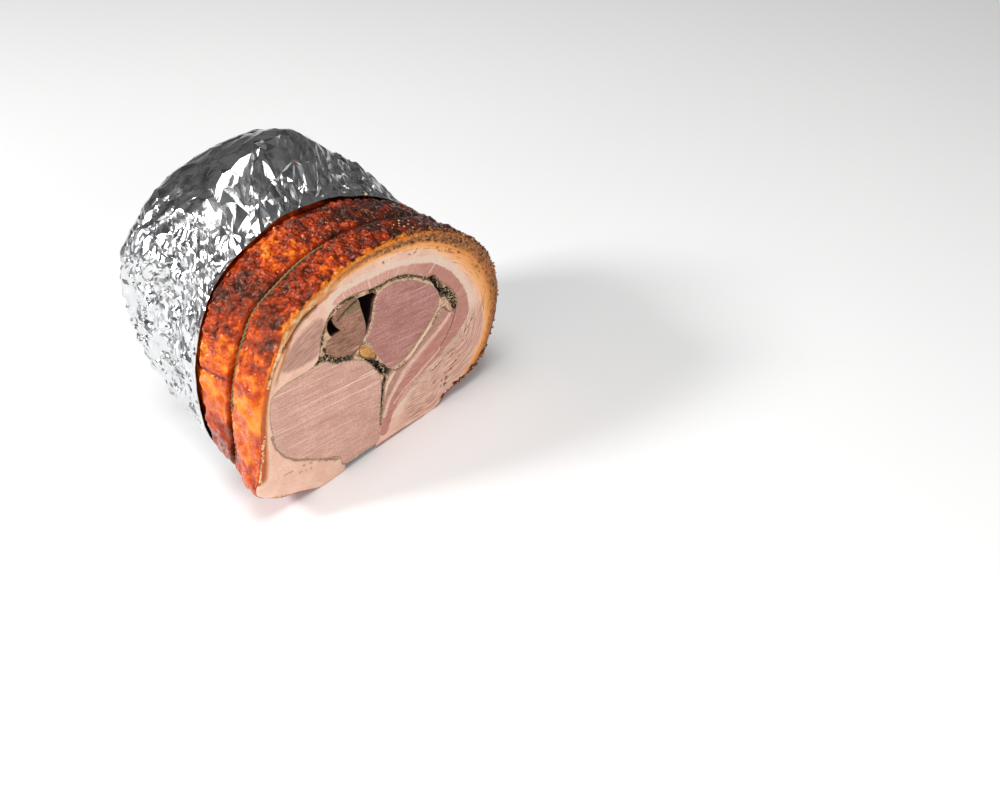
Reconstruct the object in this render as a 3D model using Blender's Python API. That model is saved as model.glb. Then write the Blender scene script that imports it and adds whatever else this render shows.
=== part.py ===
"""A rolled pork roast, tied once with twine, cut across, its far end in foil.

The cut face looks along -Y. Every outline is drawn on that face, in
millimetres, as (across, up) from the middle of the face's foot. The roast is
lofted from there towards +Y: its section starts as the sagged outline of the
cut face, tucks in under the tie and swells to a rounder one inside the foil.
"""
import math

import bmesh
import bpy
import numpy as np
from mathutils import Vector, noise

MM = 0.001

# Lengths along the roast, from the cut face, in millimetres.
TIE_Y = 30.5            # middle of the tied groove
SECOND_TIE_Y = 71.0     # the rind dips again here, inside the foil's mouth
RIM_LOW_Y = 59.5        # foil's mouth at the left and underneath
RIM_HIGH_Y = 69.0       # foil's mouth over the top
TUCKED_Y = 66.0         # the sagged tip is wholly tucked in
ROUND_Y = 102.0         # the section has swollen to a round one
TAPERED_Y = 150.0       # and has tapered to the end's section
DOME_START_Y = 138.0    # the parcel's end starts to close
ROAST_END_Y = 152.0     # the meat's far end, inside the foil
PARCEL_END_Y = 165.0    # the foil's far end

# Sizes across the roast, in millimetres.
GAP = 0.5               # between one piece and the next
CUTTER_REACH = 3.0      # a cutter runs this far past both ends
BULGE = 4.2             # how far the rind swells between the ties, upper left
LEAST_BULGE = 0.35      # share of that on the other sides
BULGE_ROUNDING = 0.6    # 1 for a sine's crown, less for a flatter one
GROOVE_DEPTH = 3.4
GROOVE_FLAT = 1.7       # half the groove's flat bottom
GROOVE_REACH = 3.7      # half the groove's mouth
TWINE_RADIUS = 1.1
CRACKLE = 1.7           # height of the blistered rind
BLISTER_PITCH = 12.0    # distance from one broad blister to the next
FINE_BLISTER_PITCH = 4.8
FOOT_FADE = 8.0         # the blisters fade out this high above the foot
END_ROUNDING = 7.0      # the rind's edge at the hidden far end
FOIL_THICKNESS = 1.2
FOIL_CRUMPLE = 2.0
CREASE_PITCH = 20.0     # distance from one sharp crease of the foil to the next
DENT_PITCH = 9.0
FOIL_ROOM = 4.4         # between the foil's outside and the rind in it
RIM_STAND_OFF_LEFT = 3.6
RIM_STAND_OFF_TOP = 2.0
TAPER_EASE = 0.15       # how gently the taper starts
DOME_POWER = 2.4        # how squarely the far end closes

# The origin is under the middle of the whole part's box, on the floor.
BOX_MIDDLE_X = 0.94
BOX_MIDDLE_Y = 82.5

# Outlines on the cut face.
FACE_CENTRE = (0.0, 75.0)
FACE_OUTLINE = [
    (-120, 28), (-104, 16), (-84, 8), (-62, -1), (-46, 0), (-30, 1), (0, 2), (30, 1),
    (50, 0), (64, 8), (83, 11), (101, 19), (113, 36), (120, 61), (119, 78), (112, 98),
    (97, 119), (75, 136), (50, 149), (20, 156), (-7, 159), (-34, 156), (-60, 148),
    (-80, 139), (-92, 122), (-102, 104), (-109, 83), (-112, 60), (-116, 42),
]
TIED_OUTLINE = [
    (-99, 32), (-91, 16), (-76, 5), (-56, -1), (0, -1.5), (56, -1), (84, 10), (102, 20),
    (114, 37), (120, 61), (119, 78), (112, 98), (98, 119), (77, 136), (51, 149),
    (22, 157), (-7, 160), (-36, 159), (-62, 152), (-83, 141), (-97, 124), (-105, 104),
    (-109, 80), (-107, 54),
]
ROUND_CENTRE = (6.0, 100.0)
END_CENTRE = (0.0, 97.0)
# Radii of the round section and of the end's, by degrees from +X towards +Z.
ROUND_RADII = [
    (0, 111), (30, 93), (52, 88), (72, 98), (90, 104), (120, 101), (150, 107), (180, 109),
    (207, 117), (225, 122), (240, 118), (270, 104), (300, 118), (315, 118), (332, 116),
]
END_RADII = [
    (0, 98), (30, 95), (60, 93), (90, 89), (120, 97), (142, 104), (160, 106), (180, 98),
    (210, 98), (240, 107), (270, 100), (300, 108), (330, 103),
]
LOIN = [
    (-99, 95), (-102, 84), (-102, 71), (-100, 57), (-94, 46), (-85, 37), (-73, 30),
    (-60, 22), (-47, 15), (-43, 6), (-25, 5), (-10, 6), (-7, 19), (-5, 36), (-3, 50),
    (-4, 60), (-8, 68), (-14, 76), (-21, 82), (-31, 87), (-43, 91), (-52, 98), (-62, 99),
    (-75, 99), (-88, 99),
]
COLLAR_MUSCLE = [
    (-17, 94), (-11, 102), (-7, 112), (-4, 122), (5, 126), (15, 126), (24, 123), (34, 118),
    (44, 111), (52, 104), (57, 96), (57, 87), (50, 79), (42, 73), (33, 67), (23, 61),
    (14, 59.5), (6, 61), (0, 69), (-5, 78), (-10, 86),
]
CORE_PIECE = [
    (-20, 130), (-30, 131.5), (-38, 130), (-42, 125), (-39, 118), (-36, 113.5), (-43, 113),
    (-49, 111), (-50, 106), (-47, 100), (-40, 94.5), (-31, 91), (-24, 91), (-19, 93.5),
    (-15.5, 98), (-14, 106), (-15.5, 114), (-17.5, 122),
]
FAT_NUGGET = [(-20, 93), (-13, 92), (-9, 86), (-5, 80), (-8, 76), (-15, 80), (-21, 86)]
# The hollow of the wrap that the herbs fill. Its lower side runs inside the loin.
HERB_HOLLOW = [
    (-57, 103), (-55, 109), (-53.5, 116), (-50, 123), (-45, 130), (-38, 134), (-28, 135),
    (-18, 134), (-10, 132), (0, 130.5), (8, 130), (18, 129), (28, 125.5), (38, 119.5),
    (47, 114), (53, 113), (58, 106), (65, 99), (72, 90), (76, 80), (74, 75), (68, 76),
    (63, 82), (59, 83), (53, 77), (44, 70.5), (35, 64.5), (25, 58), (16, 56), (9, 56.5),
    (4, 54), (0.5, 49), (-1, 42), (-3, 33), (-5, 25), (-7.5, 17), (-14, 26), (-14, 45),
    (-16, 60), (-26, 72), (-40, 82), (-55, 90), (-64, 96),
]
# Empty pockets beside the core piece. They reach into the meat on both sides.
TALL_POCKET = [
    (-22, 130), (-12, 129.5), (-3, 127), (-2, 120), (-4, 111), (-8, 102), (-13, 91),
    (-21, 91), (-21, 103), (-21, 111), (-22, 121),
]
SMALL_POCKET = [
    (-48, 124), (-44.5, 128), (-41, 128), (-37, 118), (-35, 114), (-42, 112), (-47, 117),
]
# The wrap doesn't meet itself under the loin.
WRAP_OPENING = [(-42, 14), (-42, -12), (-11, -12), (-11, 14)]

# Columns round and rows along, in the lofts.
RIND_COLUMNS = 80
RIND_ROWS = [0, 1.2, 5, 10, 15, 20, 24, 26.8, 28.8, 32.2, 34.2, 38, 43, 48, 53, 57, 61,
             65, 70, 80, 96, 112, 130, 145, 151]
MEAT_ROWS = [0, 60, 76, 90, 104, 130, 151.5]
FOIL_COLUMNS = 58
FOIL_WALL_ROWS = 9
FOIL_DOME_ROWS = 8
TWINE_SIDES = 6


def smooth_step(value, low, high):
    """0 below low, 1 above high, and a smooth rise between."""
    t = np.clip((value - low) / (high - low), 0.0, 1.0)
    return t * t * (3 - 2 * t)


def mix(a, b, weight):
    return a + (b - a) * weight


def closed_curve(keys, per_span=10):
    """A smooth closed curve through the key points."""
    here = np.array(keys, float)
    before = np.roll(here, 1, axis=0)
    after = np.roll(here, -1, axis=0)
    beyond = np.roll(here, -2, axis=0)
    spans = []
    for t in np.arange(per_span) / per_span:
        bend = 2 * before - 5 * here + 4 * after - beyond
        twist = 3 * here - before - 3 * after + beyond
        spans.append(0.5 * (2 * here + (after - before) * t + bend * t**2 + twist * t**3))
    return np.stack(spans, axis=1).reshape(-1, 2)


def even_points(curve, spacing):
    """The closed curve's points again, at about the given spacing."""
    ring = np.vstack([curve, curve[:1]])
    run = np.concatenate([[0], np.cumsum(np.hypot(*np.diff(ring, axis=0).T))])
    count = max(8, round(run[-1] / spacing))
    at = np.arange(count) * run[-1] / count
    return np.stack([np.interp(at, run, ring[:, 0]), np.interp(at, run, ring[:, 1])], axis=1)


def grown(points, distance):
    """The closed outline moved outwards by a distance."""
    along = np.roll(points, -1, axis=0) - np.roll(points, 1, axis=0)
    along /= np.hypot(along[:, 0], along[:, 1])[:, None]
    outward = np.stack([along[:, 1], -along[:, 0]], axis=1)
    x, z = points.T
    area = np.sum(x * np.roll(z, -1) - np.roll(x, -1) * z)
    return points + outward * distance * np.sign(area)


def radius_by_angle(curve, centre):
    """The outline's radius about a centre, as a function of the angle."""
    dx, dz = (curve - np.array(centre)).T
    angle = np.arctan2(dz, dx) % math.tau
    radius = np.hypot(dx, dz)
    return lambda wanted: np.interp(wanted, angle, radius, period=math.tau)


def polar_points(pairs):
    angle, radius = np.array(pairs, float).T
    angle = np.radians(angle)
    return np.stack([radius * np.cos(angle), radius * np.sin(angle)], axis=1)


FACE_RADIUS = radius_by_angle(closed_curve(FACE_OUTLINE), FACE_CENTRE)
TIED_RADIUS = radius_by_angle(closed_curve(TIED_OUTLINE), FACE_CENTRE)
ROUND_RADIUS = radius_by_angle(closed_curve(polar_points(ROUND_RADII)), (0.0, 0.0))
END_RADIUS = radius_by_angle(closed_curve(polar_points(END_RADII)), (0.0, 0.0))


def section(angle, y):
    """Centre and outer radius of the parcel at depth y, before its end closes."""
    tuck = np.clip(y / TUCKED_Y, 0, 1)
    swell = smooth_step(y, TUCKED_Y, ROUND_Y)
    far = np.clip((y - ROUND_Y) / (TAPERED_Y - ROUND_Y), 0, 1)
    taper = far * far * (1 + TAPER_EASE) / (far + TAPER_EASE)
    centre = mix(np.array(FACE_CENTRE), np.array(ROUND_CENTRE), swell)
    centre = mix(centre, np.array(END_CENTRE), taper)
    tied = mix(FACE_RADIUS(angle), TIED_RADIUS(angle), tuck)
    radius = mix(mix(tied, ROUND_RADIUS(angle), swell), END_RADIUS(angle), taper)
    return centre[0], centre[1], radius


def dome_scale(y):
    """How much of the full section is left at depth y, where the end closes."""
    t = np.clip((y - DOME_START_Y) / (PARCEL_END_Y - DOME_START_Y), 0, 1)
    return (1 - t**DOME_POWER) ** (1 / DOME_POWER)


def groove(y):
    """1 in the tied groove, 0 beside it."""
    return 1 - smooth_step(abs(y - TIE_Y), GROOVE_FLAT, GROOVE_REACH)


def floor_height(y):
    """Height of the roast's flat foot: over the twine, and on the foil further back."""
    over_twine = 2 * TWINE_RADIUS + 0.8
    on_foil = FOIL_THICKNESS + 0.7
    return groove(y) * over_twine + smooth_step(y, RIM_LOW_Y - 5, RIM_LOW_Y - 1.5) * on_foil


def rim_y(a):
    """Depth of the foil's mouth: further back over the top, and a little ragged."""
    high = smooth_step(np.sin(a), 0.2, 1.0)
    return mix(RIM_LOW_Y, RIM_HIGH_Y, high) + 0.7 * np.sin(5 * a) + 0.5 * np.sin(11 * a + 1)


def meat_radius(angle, y, inset_from=RIM_LOW_Y):
    """Centre and radius of the roast at depth y, drawn in behind the foil's mouth."""
    centre_x, centre_z, radius = section(angle, y)
    inset = FOIL_ROOM * smooth_step(y, inset_from - 5, inset_from + 3)
    return centre_x, centre_z, radius * dome_scale(y) - inset


def carried(points, y):
    """Points of the cut face, carried to depth y with their place in the section."""
    offset = points - np.array(FACE_CENTRE)
    angle = np.arctan2(offset[:, 1], offset[:, 0]) % math.tau
    centre_x, centre_z, radius = meat_radius(angle, min(max(y, MEAT_ROWS[0]), MEAT_ROWS[-1]))
    ratio = radius / FACE_RADIUS(angle)
    across = centre_x + offset[:, 0] * ratio
    up = centre_z + offset[:, 1] * ratio
    return np.stack([across, np.full(len(points), float(y)), up], axis=1)


def moved_to_origin(points):
    """Millimetres on the roast to metres in the part's own frame."""
    return (np.asarray(points) - np.array([BOX_MIDDLE_X, BOX_MIDDLE_Y, 0])) * MM


def material(name, colour, roughness, metallic=0.0):
    result = bpy.data.materials.new(name)
    result.use_nodes = True
    shader = result.node_tree.nodes["Principled BSDF"]
    shader.inputs["Base Color"].default_value = (*colour, 1.0)
    shader.inputs["Roughness"].default_value = roughness
    shader.inputs["Metallic"].default_value = metallic
    return result


def solid(name, points, faces):
    """A closed solid with its faces pointing out."""
    mesh = bpy.data.meshes.new(name)
    mesh.from_pydata([tuple(p) for p in moved_to_origin(points)], [], faces)
    shape = bmesh.new()
    shape.from_mesh(mesh)
    bmesh.ops.recalc_face_normals(shape, faces=shape.faces)
    shape.to_mesh(mesh)
    shape.free()
    result = bpy.data.objects.new(name, mesh)
    bpy.context.collection.objects.link(result)
    return result


def band_faces(rows, columns, first=0):
    """Triangles of a grid that closes round its columns, all split alike."""
    faces = []
    for row in range(rows - 1):
        low = first + row * columns
        high = low + columns
        for column in range(columns):
            after = (column + 1) % columns
            faces.append((low + column, low + after, high + after))
            faces.append((low + column, high + after, high + column))
    return faces


def loft(name, rings):
    """A solid through equal rings of points, shut flat at both ends."""
    columns = len(rings[0])
    faces = band_faces(len(rings), columns)
    last = (len(rings) - 1) * columns
    faces.append(tuple(range(columns)))
    faces.append(tuple(range(last, last + columns)))
    return solid(name, np.vstack(rings), faces)


def meat_prism(name, outline):
    """A piece of meat that runs from the cut face to the roast's far end."""
    return loft(name, [carried(outline, y) for y in MEAT_ROWS])


def cutter(name, outline, distance):
    """A longer prism, grown by a distance, that only carves."""
    rows = [-CUTTER_REACH] + MEAT_ROWS + [ROAST_END_Y + CUTTER_REACH]
    result = loft(name, [carried(grown(outline, distance), y) for y in rows])
    result.hide_render = True
    result.display_type = "WIRE"
    return result


def carve(target, tools):
    for tool in tools:
        cut = target.modifiers.new("cut_" + tool.name, "BOOLEAN")
        cut.operation = "DIFFERENCE"
        cut.solver = "EXACT"
        cut.object = tool


def crackle_height(point):
    """Blisters of the roasted rind."""
    place = Vector(point)
    broad = noise.noise(place / BLISTER_PITCH)
    fine = noise.noise(place / FINE_BLISTER_PITCH + Vector((9, 3, 5)))
    return CRACKLE * (broad + 0.7 * fine)


def bulge(angle, y):
    """How far the rind stands out between its ties; most at the upper left."""
    if y < TIE_Y:
        swell = math.sin(math.pi * y / TIE_Y)
    else:
        swell = math.sin(math.pi * min((y - TIE_Y) / (SECOND_TIE_Y - TIE_Y), 1))
    side = np.clip(np.cos(angle - math.radians(140)), 0, 1)
    return BULGE * max(swell, 0) ** BULGE_ROUNDING * mix(LEAST_BULGE, 1, side)


def rind_ring(y):
    """One ring of the roast's outside, with bulges, groove and blisters."""
    points = even_points(closed_curve(FACE_OUTLINE), FACE_GIRTH / RIND_COLUMNS)
    offset = points - np.array(FACE_CENTRE)
    angle = np.arctan2(offset[:, 1], offset[:, 0]) % math.tau
    mouth = rim_y(angle)
    centre_x, centre_z, radius = meat_radius(angle, y, mouth)
    radius = mix(radius + bulge(angle, y), radius - GROOVE_DEPTH, groove(y))
    rough = (1 - groove(y)) * smooth_step(y, -1, 4) * (1 - smooth_step(y, mouth - 3, mouth + 1))
    end_rounding = END_ROUNDING * smooth_step(y, ROAST_END_Y - 6, ROAST_END_Y)
    ring = []
    for a, r, roughness in zip(angle, radius, rough):
        spot = (centre_x + r * math.cos(a), y, centre_z + r * math.sin(a))
        relief = crackle_height(spot) * roughness * smooth_step(spot[2], 1, 1 + FOOT_FADE)
        full = r + relief - end_rounding
        up = max(centre_z + full * math.sin(a), floor_height(y))
        ring.append((centre_x + full * math.cos(a), y, up))
    return np.array(ring)


def build_belly_roll(hollow_cutters):
    roll = loft("belly_roll", [rind_ring(y) for y in RIND_ROWS + [ROAST_END_Y]])
    carve(roll, hollow_cutters)
    return roll


def build_twine():
    """One closed loop that lies in the tied groove."""
    groove_bottom = rind_ring(TIE_Y)[:, [0, 2]]
    path = grown(groove_bottom, TWINE_RADIUS + GAP)
    outward = grown(path, 1.0) - path
    steps = len(path)
    side = np.arange(TWINE_SIDES) * math.tau / TWINE_SIDES
    points = []
    for (x, z), (out_x, out_z) in zip(path, outward):
        for s in side:
            reach = TWINE_RADIUS * math.cos(s)
            points.append((x + out_x * reach, TIE_Y + TWINE_RADIUS * math.sin(s), z + out_z * reach))
    faces = [tuple(corner % (steps * TWINE_SIDES) for corner in face)
             for face in band_faces(steps + 1, TWINE_SIDES)]
    return solid("twine", points, faces)


def crumple_height(point):
    """Creases of the foil: sharp ridges between softer dents."""
    place = Vector(point)
    ridge = 1 - 2 * abs(noise.noise(place / CREASE_PITCH + Vector((3, 8, 1))))
    dent = noise.noise(place / DENT_PITCH)
    return FOIL_CRUMPLE * (0.6 * ridge - 0.3 + 0.7 * dent)


def foil_ring(y_of_angle, scale, thickness, stand_off=0.0):
    """One ring of the foil; thickness moves it inwards."""
    turn = np.arange(FOIL_COLUMNS) * math.tau / FOIL_COLUMNS
    ring = []
    for a in turn:
        y = y_of_angle(a)
        centre_x, centre_z, radius = section(a, y)
        loose = mix(RIM_STAND_OFF_TOP, RIM_STAND_OFF_LEFT, 0.5 - 0.5 * math.cos(a)) * stand_off
        spot = (centre_x + radius * scale * math.cos(a), y, centre_z + radius * scale * math.sin(a))
        settled = 1 - 0.7 * stand_off
        full = (radius + loose + crumple_height(spot) * settled - thickness) * scale
        up = max(centre_z + full * math.sin(a), thickness)
        ring.append((centre_x + full * math.cos(a), y, up))
    return np.array(ring)


def foil_side(thickness):
    """Rings of one face of the foil, from its mouth to the end's middle."""
    rings = []
    for row in range(FOIL_WALL_ROWS):
        t = row / FOIL_WALL_ROWS
        stand_off = (1 - smooth_step(t, 0, 0.3)) if row else 1.0
        rings.append(foil_ring(lambda a: mix(rim_y(a), DOME_START_Y, t), 1.0, thickness, stand_off))
    reach = PARCEL_END_Y - thickness - DOME_START_Y
    for row in range(FOIL_DOME_ROWS):
        lean = 0.5 * math.pi * row / FOIL_DOME_ROWS
        y = DOME_START_Y + reach * math.sin(lean) ** (2 / DOME_POWER)
        scale = math.cos(lean) ** (2 / DOME_POWER)
        rings.append(foil_ring(lambda a: y, scale, thickness))
    return rings


def build_foil_wrap():
    outside = foil_side(0.0)
    inside = foil_side(FOIL_THICKNESS)
    rows = len(outside)
    inner_first = rows * FOIL_COLUMNS
    pole = 2 * inner_first
    faces = band_faces(rows, FOIL_COLUMNS) + band_faces(rows, FOIL_COLUMNS, inner_first)
    for column in range(FOIL_COLUMNS):
        after = (column + 1) % FOIL_COLUMNS
        faces.append((column, after, inner_first + after, inner_first + column))
        last = (rows - 1) * FOIL_COLUMNS
        faces.append((last + column, last + after, pole))
        faces.append((inner_first + last + column, inner_first + last + after, pole + 1))
    middle_x, middle_z = ROUND_CENTRE
    poles = [(middle_x, PARCEL_END_Y, middle_z), (middle_x, PARCEL_END_Y - FOIL_THICKNESS, middle_z)]
    return solid("foil_wrap", np.vstack(outside + inside + [poles]), faces)


def finish(target, look, crease_degrees):
    target.data.materials.append(look)
    target.data.shade_smooth()
    target.data.set_sharp_from_angle(angle=math.radians(crease_degrees))


for old in list(bpy.data.objects):
    bpy.data.objects.remove(old, do_unlink=True)

FACE_GIRTH = np.sum(np.hypot(*np.diff(closed_curve(FACE_OUTLINE + FACE_OUTLINE[:1]), axis=0).T))

loin_outline = even_points(closed_curve(LOIN), 7.5)
collar_outline = even_points(closed_curve(COLLAR_MUSCLE), 7.0)
core_outline = even_points(closed_curve(CORE_PIECE), 5.0)
nugget_outline = even_points(closed_curve(FAT_NUGGET), 4.5)
herb_outline = even_points(closed_curve(HERB_HOLLOW), 6.0)

loin_cutter = cutter("loin_cutter", loin_outline, GAP)
collar_cutter = cutter("collar_cutter", collar_outline, GAP)
core_cutter = cutter("core_cutter", core_outline, GAP)
nugget_cutter = cutter("nugget_cutter", nugget_outline, GAP)
herb_cutter = cutter("herb_cutter", herb_outline, GAP)
tall_pocket_cutter = cutter("tall_pocket_cutter", even_points(closed_curve(TALL_POCKET), 5), 0)
small_pocket_cutter = cutter("small_pocket_cutter", even_points(closed_curve(SMALL_POCKET), 5), 0)
opening_cutter = cutter("opening_cutter", np.array(WRAP_OPENING, float), 0)

belly_roll = build_belly_roll([loin_cutter, herb_cutter, opening_cutter])
loin = meat_prism("loin", loin_outline)
collar_muscle = meat_prism("collar_muscle", collar_outline)
core_piece = meat_prism("core_piece", core_outline)
fat_nugget = meat_prism("fat_nugget", nugget_outline)
carve(fat_nugget, [collar_cutter, core_cutter])
herb_filling = meat_prism("herb_filling", herb_outline)
carve(herb_filling, [loin_cutter, collar_cutter, core_cutter, nugget_cutter,
                     tall_pocket_cutter, small_pocket_cutter])
twine = build_twine()
foil_wrap = build_foil_wrap()

finish(belly_roll, material("roast_rind", (0.42, 0.10, 0.025), 0.35), 50)
finish(loin, material("pale_loin", (0.62, 0.42, 0.36), 0.5), 50)
finish(collar_muscle, material("pink_meat", (0.52, 0.27, 0.25), 0.5), 50)
finish(core_piece, material("brown_meat", (0.42, 0.26, 0.22), 0.5), 50)
finish(fat_nugget, material("tan_fat", (0.55, 0.33, 0.12), 0.5), 50)
finish(herb_filling, material("dark_herbs", (0.05, 0.05, 0.025), 0.8), 50)
finish(twine, material("cotton_twine", (0.25, 0.19, 0.09), 0.9), 70)
finish(foil_wrap, material("foil", (0.75, 0.76, 0.78), 0.25, metallic=1.0), 25)
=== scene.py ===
"""A tied pork roast, cut across, its far end in foil: the looks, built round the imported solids.

Lengths are in millimetres on the roast, as (across, along, up): the cut face is at 0 along, and
its foot's middle is at 0 across. Only the last step of each piece turns them into metres.
"""
import itertools
import math

import bpy
import numpy as np
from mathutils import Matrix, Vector, geometry, noise


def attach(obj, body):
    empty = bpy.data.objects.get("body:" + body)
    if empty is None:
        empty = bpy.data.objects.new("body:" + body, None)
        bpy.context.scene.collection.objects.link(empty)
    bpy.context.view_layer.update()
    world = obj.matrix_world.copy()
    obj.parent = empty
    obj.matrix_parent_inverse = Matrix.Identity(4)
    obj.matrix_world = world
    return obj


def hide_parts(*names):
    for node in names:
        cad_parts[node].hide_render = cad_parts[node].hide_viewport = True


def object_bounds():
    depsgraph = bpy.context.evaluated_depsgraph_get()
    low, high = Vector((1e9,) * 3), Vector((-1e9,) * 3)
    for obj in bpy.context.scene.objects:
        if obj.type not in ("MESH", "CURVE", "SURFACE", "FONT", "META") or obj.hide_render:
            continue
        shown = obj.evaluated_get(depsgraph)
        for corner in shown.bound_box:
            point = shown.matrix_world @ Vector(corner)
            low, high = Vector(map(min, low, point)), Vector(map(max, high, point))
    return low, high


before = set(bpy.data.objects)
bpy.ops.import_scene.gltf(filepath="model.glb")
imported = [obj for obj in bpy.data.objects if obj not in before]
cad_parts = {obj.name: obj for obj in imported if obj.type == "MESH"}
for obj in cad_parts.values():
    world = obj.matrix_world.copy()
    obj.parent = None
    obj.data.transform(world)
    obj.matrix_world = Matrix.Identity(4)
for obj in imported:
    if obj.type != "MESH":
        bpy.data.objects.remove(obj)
CAD_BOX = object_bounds()

MM = 0.001

# ---------------------------------------------------------------- the roast's form, as in the solids

TIE_Y = 30.5
SECOND_TIE_Y = 71.0
RIM_LOW_Y = 59.5
RIM_HIGH_Y = 69.0
TUCKED_Y = 66.0
ROUND_Y = 102.0
TAPERED_Y = 150.0
DOME_START_Y = 138.0
ROAST_END_Y = 152.0
PARCEL_END_Y = 165.0

BULGE = 4.2
LEAST_BULGE = 0.35
BULGE_ROUNDING = 0.6
GROOVE_DEPTH = 3.4
GROOVE_FLAT = 1.7
GROOVE_REACH = 3.7
TWINE_RADIUS = 1.1
CRACKLE = 1.7
BLISTER_PITCH = 12.0
FINE_BLISTER_PITCH = 4.8
FOOT_FADE = 8.0
END_ROUNDING = 7.0
FOIL_THICKNESS = 1.2
FOIL_CRUMPLE = 2.0
CREASE_PITCH = 20.0
DENT_PITCH = 9.0
FOIL_ROOM = 4.4
RIM_STAND_OFF_LEFT = 3.6
RIM_STAND_OFF_TOP = 2.0
TAPER_EASE = 0.15
DOME_POWER = 2.4
BOX_MIDDLE_X = 0.94
BOX_MIDDLE_Y = 82.5

FACE_CENTRE = (0.0, 75.0)
FACE_OUTLINE = [
    (-120, 28), (-104, 16), (-84, 8), (-62, -1), (-46, 0), (-30, 1), (0, 2), (30, 1),
    (50, 0), (64, 8), (83, 11), (101, 19), (113, 36), (120, 61), (119, 78), (112, 98),
    (97, 119), (75, 136), (50, 149), (20, 156), (-7, 159), (-34, 156), (-60, 148),
    (-80, 139), (-92, 122), (-102, 104), (-109, 83), (-112, 60), (-116, 42),
]
TIED_OUTLINE = [
    (-99, 32), (-91, 16), (-76, 5), (-56, -1), (0, -1.5), (56, -1), (84, 10), (102, 20),
    (114, 37), (120, 61), (119, 78), (112, 98), (98, 119), (77, 136), (51, 149),
    (22, 157), (-7, 160), (-36, 159), (-62, 152), (-83, 141), (-97, 124), (-105, 104),
    (-109, 80), (-107, 54),
]
ROUND_CENTRE = (6.0, 100.0)
END_CENTRE = (0.0, 97.0)
ROUND_RADII = [
    (0, 111), (30, 93), (52, 88), (72, 98), (90, 104), (120, 101), (150, 107), (180, 109),
    (207, 117), (225, 122), (240, 118), (270, 104), (300, 118), (315, 118), (332, 116),
]
END_RADII = [
    (0, 98), (30, 95), (60, 93), (90, 89), (120, 97), (142, 104), (160, 106), (180, 98),
    (210, 98), (240, 107), (270, 100), (300, 108), (330, 103),
]
LOIN = [
    (-99, 95), (-102, 84), (-102, 71), (-100, 57), (-94, 46), (-85, 37), (-73, 30),
    (-60, 22), (-47, 15), (-43, 6), (-25, 5), (-10, 6), (-7, 19), (-5, 36), (-3, 50),
    (-4, 60), (-8, 68), (-14, 76), (-21, 82), (-31, 87), (-43, 91), (-52, 98), (-62, 99),
    (-75, 99), (-88, 99),
]
COLLAR_MUSCLE = [
    (-17, 94), (-11, 102), (-7, 112), (-4, 122), (5, 126), (15, 126), (24, 123), (34, 118),
    (44, 111), (52, 104), (57, 96), (57, 87), (50, 79), (42, 73), (33, 67), (23, 61),
    (14, 59.5), (6, 61), (0, 69), (-5, 78), (-10, 86),
]
CORE_PIECE = [
    (-20, 130), (-30, 131.5), (-38, 130), (-42, 125), (-39, 118), (-36, 113.5), (-43, 113),
    (-49, 111), (-50, 106), (-47, 100), (-40, 94.5), (-31, 91), (-24, 91), (-19, 93.5),
    (-15.5, 98), (-14, 106), (-15.5, 114), (-17.5, 122),
]
FAT_NUGGET = [(-20, 93), (-13, 92), (-9, 86), (-5, 80), (-8, 76), (-15, 80), (-21, 86)]
HERB_HOLLOW = [
    (-57, 103), (-55, 109), (-53.5, 116), (-50, 123), (-45, 130), (-38, 134), (-28, 135),
    (-18, 134), (-10, 132), (0, 130.5), (8, 130), (18, 129), (28, 125.5), (38, 119.5),
    (47, 114), (53, 113), (58, 106), (65, 99), (72, 90), (76, 80), (74, 75), (68, 76),
    (63, 82), (59, 83), (53, 77), (44, 70.5), (35, 64.5), (25, 58), (16, 56), (9, 56.5),
    (4, 54), (0.5, 49), (-1, 42), (-3, 33), (-5, 25), (-7.5, 17), (-14, 26), (-14, 45),
    (-16, 60), (-26, 72), (-40, 82), (-55, 90), (-64, 96),
]
TALL_POCKET = [
    (-22, 130), (-12, 129.5), (-3, 127), (-2, 120), (-4, 111), (-8, 102), (-13, 91),
    (-21, 91), (-21, 103), (-21, 111), (-22, 121),
]
SMALL_POCKET = [
    (-48, 124), (-44.5, 128), (-41, 128), (-37, 118), (-35, 114), (-42, 112), (-47, 117),
]
WRAP_OPENING = [(-42, 14), (-42, -12), (-11, -12), (-11, 14)]
MEAT_ROWS = [0, 60, 76, 90, 104, 130, 151.5]

# ---------------------------------------------------------------- what shows on the cut face

# Where the rind's roasted edge ends and the fat begins, from the lower left round to the right.
RIND_INSIDE = [
    (-122, 33), (-111, 34), (-107, 45), (-106, 60), (-104, 80), (-101, 95), (-96, 107), (-88, 119),
    (-78, 129), (-68, 136), (-56, 142), (-42, 147), (-28, 150), (-10, 150), (8, 148), (25, 144),
    (44, 137), (59, 126.5), (74, 111.5), (85, 97.5), (95.5, 80), (101.5, 62), (103, 48), (99.5, 36),
    (93, 27), (82, 15), (66, 3), (40, -9), (-90, -9), (-122, 12),
]
TOP_MUSCLE = [
    (-41, 138), (-35, 141.5), (-28, 141), (-20, 141), (-12, 140.5), (-3, 139), (6, 138.5), (15, 137),
    (25, 134), (34, 131), (44, 127), (53, 122.5), (60, 117), (68, 110), (75, 100.5), (82, 90),
    (86, 80), (88, 71), (86.5, 63), (81, 57.5), (72, 52), (62, 47), (52, 43), (43, 40), (32, 35),
    (24, 31), (14, 26), (8, 23), (2, 30), (10, 45), (30, 60), (50, 74), (62, 82), (66, 96),
    (50, 112), (30, 124), (0, 130), (-25, 134), (-40, 136),
]
LEFT_MEAT = [
    (-50, 129), (-56, 133), (-64, 132), (-71, 129.5), (-78.5, 125), (-86, 118.5), (-90, 113),
    (-87.5, 108.5), (-82.5, 107), (-74, 105.5), (-65, 105), (-58, 106), (-54, 111), (-52, 118),
]
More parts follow.
